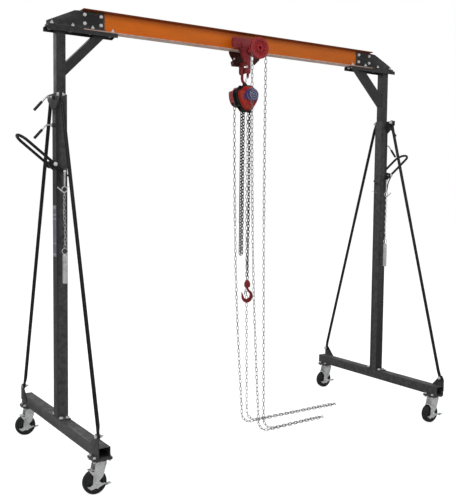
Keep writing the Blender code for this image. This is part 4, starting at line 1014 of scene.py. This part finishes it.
def hand_wheel():
    """Chain wheel: two dished flanges, a pocketed groove, a hub and its shaft."""
    centre = joint_point("hand_wheel_spin")
    matrix = frame_along(centre, (0, -1, 0))
    outside = [(0, -4), (15, -4), (15.6, 12), (18, 13.2), (24.5, 11.8), (27, 4.5), (50, 2), (55, 5)]
    outside += [(56.5, 14), (58.5, 16.5), (70, 16.5), (78, 15), (80, 13)]
    groove = [(80, 11.2), (64, 6.2), (52.8, 4.5)]
    groove += [(52, 0)] + [(r, -z) for r, z in reversed(groove)]
    inside = [(80, -13), (76, -15), (50, -13), (24, -13), (20, -17), (8.4, -17.5), (8.4, -138), (0, -138)]
    solid = Solid()
    solid.lathe(outside + groove + inside, matrix, 72)
    # Pockets that grip the links: lugs across the groove.
    pockets = 14
    for i in range(pockets):
        spin = matrix @ Matrix.Rotation(2 * math.pi * i / pockets, 4, "Z")
        for face in (-1, 1):
            solid.block((50, -5, face * 3), (69, 5, face * 9.2), spin)
    solid.piece("hand_wheel", LIT_WHEEL_RED, "hand_wheel", bevel=0.7, angle=40, replaces=("trolley_hand_wheel",))


# ---------------------------------------------------------------- hoist
HOIST_X = joint_point("hoist_chain_hang").x


def case_outline(grow):
    """The hoist's rounded case, seen from the front and grown outward by a distance."""
    half = [
        (0, 2694), (36, 2694), (44, 2691), (55, 2673), (66, 2664), (88, 2653), (95, 2644), (97, 2628),
        (93, 2602), (86, 2580), (72, 2552), (55, 2526), (34, 2502), (26, 2497), (0, 2494),
    ]
    mid_z, half_width, half_height = 2600, 95, 100
    right = [(u * (1 + grow / half_width), mid_z + (z - mid_z) * (1 + grow / half_height)) for u, z in half]
    return [(HOIST_X + u, z) for u, z in right + mirrored(right[-2:0:-1])]


def gear_cover():
    """Pressed cover with sloping facets round a flat face, a round boss with its badge, and studs."""
    levels = ((-18.5, -8), (-22, -7), (-30, -11), (-48, -14), (-56, -18), (-76, -36), (-78, -41))
    solid = Solid()
    solid.loft([[(u, y, z) for u, z in case_outline(grow)] for y, grow in levels])
    solid.piece("gear_cover", HOIST_RED, "hoist", 2.2, 3, 20, ("hoist_gear_cover",))

    centre = Vector((HOIST_X, -70, 2616))
    face = Vector((HOIST_X, -106.6, 2616))
    boss = [(0, 0), (52, 0), (50, 10), (46.5, 28), (45, 33), (42.5, 36.4), (40, 36.8), (0, 36.8)]
    disc = [(0, 0), (40.5, 0), (40.5, 0.8), (39.6, 1.4), (0, 1.6)]
    solid = Solid()
    solid.lathe(boss, frame_along(centre, (0, -1, 0)), 48)
    solid.lathe(disc, frame_along(face, (0, -1, 0)), 48)
    # The print goes on over the cover's flat face, left of the boss.
    panel = [(-46, 2600), (-40, 2588), (4, 2572), (12, 2580), (12, 2652), (-20, 2646)]
    solid.plate([panel], 1.2, frame_xz(-78.5))
    badge_print = generic_badge("badge_print", face * MM)
    SLOT_OF[badge_print] = "hoist_red_paint"
    solid.piece("badge", badge_print, "hoist", angle=50)

    solid = Solid()
    for u, z in ((0, 2672), (70, 2632), (-70, 2632), (50, 2564), (-50, 2564)):
        solid.washer((HOIST_X + u, -24.5, z), (0, -1, 0), 8, 30)
    solid.piece("cover_studs", HOIST_RED, "hoist", bevel=0.8)


def hoist_frame():
    """Two side plates round a cast core, stay bolts, chain guides and the hook's seat."""
    solid = Solid()
    for y in (-15.5, 37.5):
        solid.plate([case_outline(3)], 4.5, frame_xz(y))
    solid.plate([case_outline(-14)], 49, frame_xz(11))
    for u, z in ((82, 2640), (-82, 2640), (60, 2540), (-60, 2540), (0, 2676)):
        solid.rod((HOIST_X + u, -15, z), (HOIST_X + u, 37, z), 7.5, 20)
    guide = [(10.5, 2488), (16.5, 2488), (17.5, 2492), (16.5, 2520), (10.5, 2520)]
    for x in (66, 2):
        solid.lathe(guide, Matrix.Translation((x, 0, 0)), 28, closed=True)
    solid.block((HOIST_X - 18, -12, 2492), (HOIST_X + 18, 30, 2512))
    solid.piece("hoist_core", HOIST_BLACK, "hoist", bevel=1.2, replaces=("hoist_frame",))


def wheel_cover():
    """Pressed shell over the hoist's hand wheel, open below, with a lip between the chain's two sides."""
    centre = joint_point("hoist_chain_hang")
    near, far = 40.5, 120
    half = [
        (34, 2533), (48, 2540), (62, 2551), (74, 2566), (84, 2592), (89, 2620), (90, 2646), (84, 2654),
        (56, 2664), (48, 2674), (44, 2682), (38, 2686),
    ]
    middle = Vector((centre.x, 2618))

    def ring(points, shrink):
        outline = [Vector((centre.x + u, v)) for u, v in points + mirrored(points[::-1])]
        return [point + (middle - point).normalized() * shrink for point in outline]

    band = half[3:]
    wall, dish_depth = 4.5, 10
    horseshoe = ring(band, 0) + ring(band, wall)[::-1]
    band_end = far - dish_depth
    dish = ((far - 10.5, 0), (far - 6, 0.6), (far - 2.5, 3), (far - 0.5, 7.5), (far, 12))
    solid = Solid()
    solid.plate([[tuple(point) for point in horseshoe]], band_end - near, frame_xz((near + band_end) / 2))
    solid.loft([[(point.x, y, point.y) for point in ring(half, shrink)] for y, shrink in dish])
    solid.piece("wheel_cover", CRIMSON, "hoist", bevel=1, angle=30, replaces=("hoist_wheel_cover",))

    solid = Solid()
    solid.hexagon((centre.x, far - 0.2, centre.z + 55), (0, 1, 0), 11, 6)
    solid.hexagon((centre.x, far - 0.2, centre.z), (0, 1, 0), 15, 3)
    solid.piece("wheel_cover_screws", ZINC, "hoist")


def hoist_chain_wheel():
    """Rim of the hoist's hand wheel, seen through the cover's mouth."""
    flange = [(15, 8), (56, 9), (70, 12), (72, 10.5), (58, 5.5), (53, 4.5)]
    rim = [(0, 16.5), (12, 16.5)] + flange + [(52.5, 0)]
    rim += [(r, -z) for r, z in reversed(flange)] + [(12, -25), (0, -25)]
    solid = Solid()
    solid.lathe(rim, frame_along(joint_point("hoist_chain_hang"), (0, 1, 0)), 56)
    solid.piece("hoist_chain_wheel", HOIST_BLACK, "hoist", angle=40)


def hook_bar(name, outline, radius_at, body, node):
    """A forged hook: a bar along an outline, with its radius set by the share of the path behind it."""
    path = smooth_path([(u, 0, v) for u, v in outline], 4)
    solid = Solid()
    solid.sweep(path, [radius_at(i / (len(path) - 1)) for i in range(len(path))], 20, domed=True)
    solid.piece(name, CRIMSON, body, angle=60, replaces=(node,))


def top_hook():
    """The hook that hangs on the suspension bar, its latch and its collar."""
    x = joint_point("hoist_swing").x
    ring_z, radius = 2793.5, 26
    low_z = ring_z - 28
    shank = [(0, 2690), (0, 2704), (-9, 2712), (-20.5, 2724), (-26.2, 2742), (-radius, low_z + 6)]
    tip = [(radius, low_z + 6), (23.5, low_z - 7), (19.5, low_z - 11)]
    outline = [(x + u, v) for u, v in shank + arc((0, ring_z), radius, 180, 0, 9) + tip]

    def radius_at(t):
        return 10 + 1.2 * math.sin(math.pi * min(1, t * 1.3)) - 2.2 * max(0, t - 0.9) / 0.1

    hook_bar("top_hook", outline, radius_at, "hoist", "hoist_top_hook")
    latch = [(x + u, 0, low_z + v) for u, v in ((20, 2), (15, -20), (4.5, -48))]
    solid = Solid()
    solid.sweep(smooth_path(latch, 4), 6.2, 12, domed=True)
    solid.piece("top_hook_latch", ZINC, "hoist", angle=50)
    collar = [(0, 2694), (18.5, 2694), (19, 2698), (16.5, 2706), (11.5, 2710), (0, 2710)]
    solid = Solid()
    solid.lathe(collar, Matrix.Translation((x, 0, 0)), 32)
    solid.piece("top_hook_collar", HOIST_BLACK, "hoist", angle=50)


def hook_block():
    """Two ribbed halves bolted round the chain's end and the hook's shank."""
    x = joint_point("hook_swivel").x
    shell = [
        (0, 1178), (9.5, 1178), (11, 1176.5), (12.5, 1172), (16.5, 1166), (20.5, 1156), (22.5, 1144),
        (22.5, 1132), (20.5, 1123), (18, 1119), (16.5, 1118.2), (9.5, 1118.2), (9.5, 1126), (0, 1126),
    ]
    rib = [(14, 1169), (19, 1165), (23.6, 1154), (25.2, 1142), (25, 1131), (21.5, 1122), (14, 1122.5)]
    ribs = 10
    solid = Solid()
    solid.lathe(shell, Matrix.Translation((x, 0, 0)), 40)
    for k in range(ribs):
        spin = Matrix.Translation((x, 0, 0)) @ Matrix.Rotation(2 * math.pi * k / ribs, 4, "Z")
        solid.plate([rib], 4, spin @ frame_xz(0))
    solid.piece("hook_block_shell", CRIMSON, "block", bevel=0.8, replaces=("hook_block",))
    solid = Solid()
    solid.bolt((x, -26.2, 1144), (x, 26.2, 1144), 6, 2)
    solid.piece("hook_block_bolt", CRIMSON, "block")


def load_hook():
    """The forged lower hook, thickest at its bowl, with a narrow tip."""
    pivot = joint_point("hook_swivel")
    x, z, radius = pivot.x - 3, 1053, 41
    shank = [(pivot.x, 1124), (pivot.x, 1112), (pivot.x + 2, 1106), (pivot.x + 8.5, 1099), (x + 21, z + 32.5)]
    tip = [(x - radius - 4.5, z + 16), (x - radius - 10, z + 29)]
    outline = shank + arc((x, z), radius, 38, -176, 13) + tip

    def radius_at(t):
        bowl = math.exp(-(((t - 0.55) / 0.26) ** 2))
        tip_share = max(0, (t - 0.88) / 0.12)
        return (8.6 + 3.4 * bowl) * (1 - 0.60 * tip_share), (8.6 + 8.5 * bowl) * (1 - 0.68 * tip_share)

    hook_bar("lower_hook", outline, radius_at, "hook", "load_hook")


def hook_latch():
    """Pressed safety latch across the lower hook's mouth, on its pin."""
    latch = joint_point("latch_open")
    run = Vector((-11.8, 0, -38.5)).normalized()
    side = Vector((run.z, 0, -run.x))
    widths = ((-4, 2), (4, 4.2), (16, 2.6), (34, 2.2), (40.5, 1.2))
    front = [latch + run * along + side * half for along, half in widths]
    back = [latch + run * along - side * half for along, half in reversed(widths)]
    solid = Solid()
    solid.plate([[(p.x, p.z) for p in front + back]], 13, frame_xz(0))
    solid.rod((latch.x, -9.5, latch.z), (latch.x, 9.5, latch.z), 2.6, 14)
    solid.piece("hook_latch_plate", ZINC, "latch", bevel=0.5, replaces=("hook_latch",))


# ---------------------------------------------------------------- chains
# Pitch, width over the link, and wire thickness.
LIFT_LINK = (23.5, 17.5, 3.6)
HAND_LINK = (31, 21.5, 4.4)
LOAD_LINK = (22.6, 23.5, 6.2)
WHEEL_PITCH_RADIUS = 61


def link_template(link, sides, count):
    """Vertices and faces of one link, centred on the origin with its long axis on Z."""
    pitch, width, wire = link
    radius = (width - wire) / 2
    straight = (pitch + wire) / 2 - radius
    points = []
    for sign in (1, -1):
        for u, v in arc((0, 0), radius, 0, 180, count // 2):
            points.append((sign * u, 0, sign * (v + straight)))
    solid = Solid()
    solid.sweep(points, wire / 2, sides, closed=True)
    bm = solid.bm
    bm.normal_update()
    bmesh.ops.recalc_face_normals(bm, faces=bm.faces)
    bm.verts.index_update()
    vertices = [vertex.co.copy() for vertex in bm.verts]
    faces = [[vertex.index for vertex in face.verts] for face in bm.faces]
    bm.free()
    return vertices, faces


def resample(path, spacing, start):
    """Points every spacing along a path, with the direction at each."""
    result = []
    travelled, target = 0, start
    for a, b in zip(path, path[1:]):
        length = (b - a).length
        while length > 0 and target <= travelled + length:
            result.append((a + (b - a) * ((target - travelled) / length), (b - a).normalized()))
            target += spacing
        travelled += length
    return result


def chain_mesh(name, path, link, facing_deg, seed, sway_deg, sides=6, count=18, closed=False):
    """Real links along a path, each turned a quarter from the last, with a little sway."""
    template, faces = link_template(link, sides, count)
    rng = random.Random(seed)
    path = [Vector(point) for point in path]
    pitch = link[0]
    if closed:
        total = sum((b - a).length for a, b in zip(path, path[1:]))
        links = 2 * round(total / pitch / 2)
        stations = resample(path, total / links, 0)[:links]
    else:
        stations = resample(path, pitch, pitch / 2)
    facing = math.radians(facing_deg)
    normal = Vector((math.cos(facing), math.sin(facing), 0))
    all_vertices, all_faces = [], []
    for index, (centre, direction) in enumerate(stations):
        normal = square_to(normal, direction)
        swing = math.radians(rng.uniform(-sway_deg, sway_deg)) + (math.pi / 2 if index % 2 else 0)
        side = Matrix.Rotation(swing, 3, direction) @ normal
        turn = Matrix((side, direction.cross(side), direction)).transposed()
        base = len(all_vertices)
        all_vertices += [centre + turn @ vertex for vertex in template]
        all_faces += [[base + k for k in face] for face in faces]
    mesh = bpy.data.meshes.new(name)
    mesh.from_pydata([tuple(v) for v in all_vertices], [], all_faces)
    return mesh


def stretched_chain(name, mesh, material, replaces):
    """A chain made in millimetres, put in place with its transform baked into its mesh."""
    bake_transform(place(name, mesh, material, replaces))


def hand_chain_loop(x, y, wheel_z, foot_x, tail):
    """Closed centre line of a hand chain: one strand, the floor and its tail, the other strand, the wheel."""
    floor, bend_top = 11.2, 100
    bend = bend_top - floor
    tail_x, tail_y = tail
    sides = {}
    for side in (-1, 1):
        start_x = x + side * WHEEL_PITCH_RADIUS
        end_x = foot_x + side * 34
        end_y = y + side * 12
        strand = []
        for i in range(31):
            t = i / 30
            bow = t * t
            wave = 1.2 * math.sin(9 * t + side)
            z = wheel_z + (bend_top + 12 - wheel_z) * t
            strand.append((start_x + (end_x - start_x) * bow + wave, y + (end_y - y) * bow, z))
        strand += [(u, end_y, v) for u, v in arc((end_x + bend, floor + bend), bend, 190, 268, 7)]
        for i in range(1, 16):
            t = i / 16
            wander = 3.5 * math.sin(7 * t + 2 * side)
            along = end_x + bend + (tail_x - 20 - end_x - bend) * t
            strand.append((along, end_y + (tail_y + side * 11 - end_y) * t + wander, floor))
        strand.append((tail_x - 18, tail_y + side * 11.5, floor))
        sides[side] = strand
    turn = [(tail_x - u, tail_y + v, floor) for u, v in ((8, 8.5), (3, 0), (8, -8.5))]
    over = [(u, y, v) for u, v in arc((x, wheel_z), WHEEL_PITCH_RADIUS, 170, 10, 17)]
    loop = sides[1] + turn + sides[-1][::-1] + over
    return smooth_path(loop + [loop[0]], 4)


def hand_chain(name, joint, foot_x, tail, facing_deg, seed, nodes):
    """An endless hand chain, from its wheel down to the floor and along it."""
    pivot = joint_point(joint)
    loop = hand_chain_loop(*pivot, foot_x, tail)
    mesh = chain_mesh(name, loop, HAND_LINK, facing_deg, seed, 9, closed=True)
    stretched_chain(name, mesh, ZINC_CHAIN, nodes)


def load_chains():
    """The load chain down to the hook block, and the slack end that hangs in a loop beside it."""
    x = joint_point("hook_swivel").x
    top, low = 2520, 1176
    path = [(x + 4 * math.sin(math.pi * i / 40), 0, top + (low - top) * i / 40) for i in range(41)]
    mesh = chain_mesh("load_links", path, LOAD_LINK, -15, 3, 3, 8, 20)
    stretched_chain("load_links", mesh, LOAD_BLACK, ("load_chain",))
    slack_x, half = 2, 10.5
    top, bottom = 2515, 1384
    bend_z = bottom + 20
    down = [(slack_x - half, 0, top + (bend_z - top) * i / 20) for i in range(21)]
    bend = [(u, 0, v) for u, v in arc((slack_x, bottom + half), half, 180, 360, 9)]
    up = [(slack_x + half, 0, bend_z + (top - bend_z) * i / 20) for i in range(21)]
    mesh = chain_mesh("slack_links", down + bend + up, LOAD_LINK, 10, 6, 3, 8, 20)
    stretched_chain("slack_links", mesh, LOAD_BLACK, ("slack_chain",))


# ---------------------------------------------------------------- studio
def pale_floor():
    """A matt floor, made in metres, that glows for the camera and is dimmer as a light."""
    half, under, top = 40, -0.02, -0.0002
    solid = Solid()
    solid.block((-half, -half, under), (half, half, top))
    mesh = bpy.data.meshes.new("floor")
    solid.bm.to_mesh(mesh)
    solid.bm.free()
    shader = Shader("pale_floor")
    seen = shader.node("LightPath").outputs["Is Camera Ray"]
    shader.look(
        Base_Color=shader.mix(seen, (0.66, 0.66, 0.66), (0.90, 0.90, 0.90)),
        Emission_Strength=shader.spread(seen, 0.0, 1.0, 0.08, 0.80),
        Roughness=0.9, Emission_Color=(1.0, 1.0, 1.0, 1),
    )
    mesh.materials.append(shader.material)
    add_object("floor", mesh)


def backdrop():
    """Pure white for the camera, and dimmer as a light."""
    world = bpy.data.worlds.new("studio")
    world.use_nodes = True
    tree = world.node_tree
    background = tree.nodes["Background"]
    background.inputs["Color"].default_value = (1.0, 1.0, 1.0, 1.0)
    path = tree.nodes.new("ShaderNodeLightPath")
    strength = tree.nodes.new("ShaderNodeMapRange")
    strength.inputs["To Min"].default_value = 0.34
    strength.inputs["To Max"].default_value = 1.0
    tree.links.new(path.outputs["Is Camera Ray"], strength.inputs["Value"])
    tree.links.new(strength.outputs["Result"], background.inputs["Strength"])
    bpy.context.scene.world = world


def lights():
    """Soft discs round the crane, all aimed at its middle.  Places are metres."""
    middle = Vector((0, 0, 1.5))
    for name, spot, power, size in (
        ("key", (-4.5, -4.0, 6.5), 120, 3.0),
        ("fill", (5.0, -6.0, 3.5), 30, 5.0),
        ("back", (-2.0, 6.0, 5.0), 40, 5.0),
    ):
        data = bpy.data.lights.new(name, "AREA")
        data.energy = power
        data.shape = "DISK"
        data.size = size
        lamp = add_object(name, data)
        lamp.location = spot
        lamp.rotation_mode = "QUATERNION"
        lamp.rotation_quaternion = (middle - Vector(spot)).to_track_quat("-Z", "Y")


def camera():
    yaw, pitch, roll = (math.radians(a) for a in (32.63, -3.96, 0.62))
    forward = Vector((math.sin(yaw) * math.cos(pitch), math.cos(yaw) * math.cos(pitch), math.sin(pitch)))
    level = Vector((math.cos(yaw), -math.sin(yaw), 0))
    up = level.cross(forward)
    right = level * math.cos(roll) + up * math.sin(roll)
    top = up * math.cos(roll) - level * math.sin(roll)
    data = bpy.data.cameras.new("camera")
    data.sensor_width = 36.0
    data.lens = 54.56
    obj = add_object("camera", data)
    turn = Matrix((right, top, -forward)).transposed().to_4x4()
    obj.matrix_world = Matrix.Translation((-3.28433, -4.94466, 1.82669)) @ turn
    bpy.context.scene.camera = obj


def build():
    tube_frames()
    for side, s in SIDES.items():
        frame_welds(side, s)
        frame_bolts(side, s)
        post_details(side, s)
        beam_end_details(side, s)
        for level in ("upper", "lower"):
            clamp_screw(level, side, s)
        lift_lever(side, s)
        lift_pin(side, s)
        for end, e in ENDS.items():
            brace(side, s, end, e)
            caster(f"{end}_{side}")
    blank_label()
    trolley_plate("front", -1, FRONT_OUTLINE, FRONT_FOLD, CRIMSON, (0.5, -PLATE_FACE, 2827))
    trolley_plate("rear", 1, REAR_OUTLINE, REAR_FOLD, SHADE_RED, (-54, 45, 2896))
    bumper_and_bearing()
    track_wheels()
    suspension()
    hand_wheel()
    gear_cover()
    hoist_frame()
    wheel_cover()
    hoist_chain_wheel()
    top_hook()
    hook_block()
    load_hook()
    hook_latch()
    bodies, nodes = ("trolley", "trolley_chain"), ("trolley_hand_chain",)
    hand_chain("trolley_links", "hand_wheel_spin", 85, (752, -140), 35, 4, nodes)
    bodies, nodes = ("hoist_chain", "hoist_floor_chain"), ("hoist_hand_chain", "hoist_chain_tail")
    hand_chain("hoist_links", "hoist_chain_hang", 100, (1100, 112), 50, 8, nodes)
    load_chains()
    pale_floor()
    backdrop()
    lights()
    camera()
    bpy.context.scene.view_settings.view_transform = "Standard"


build()
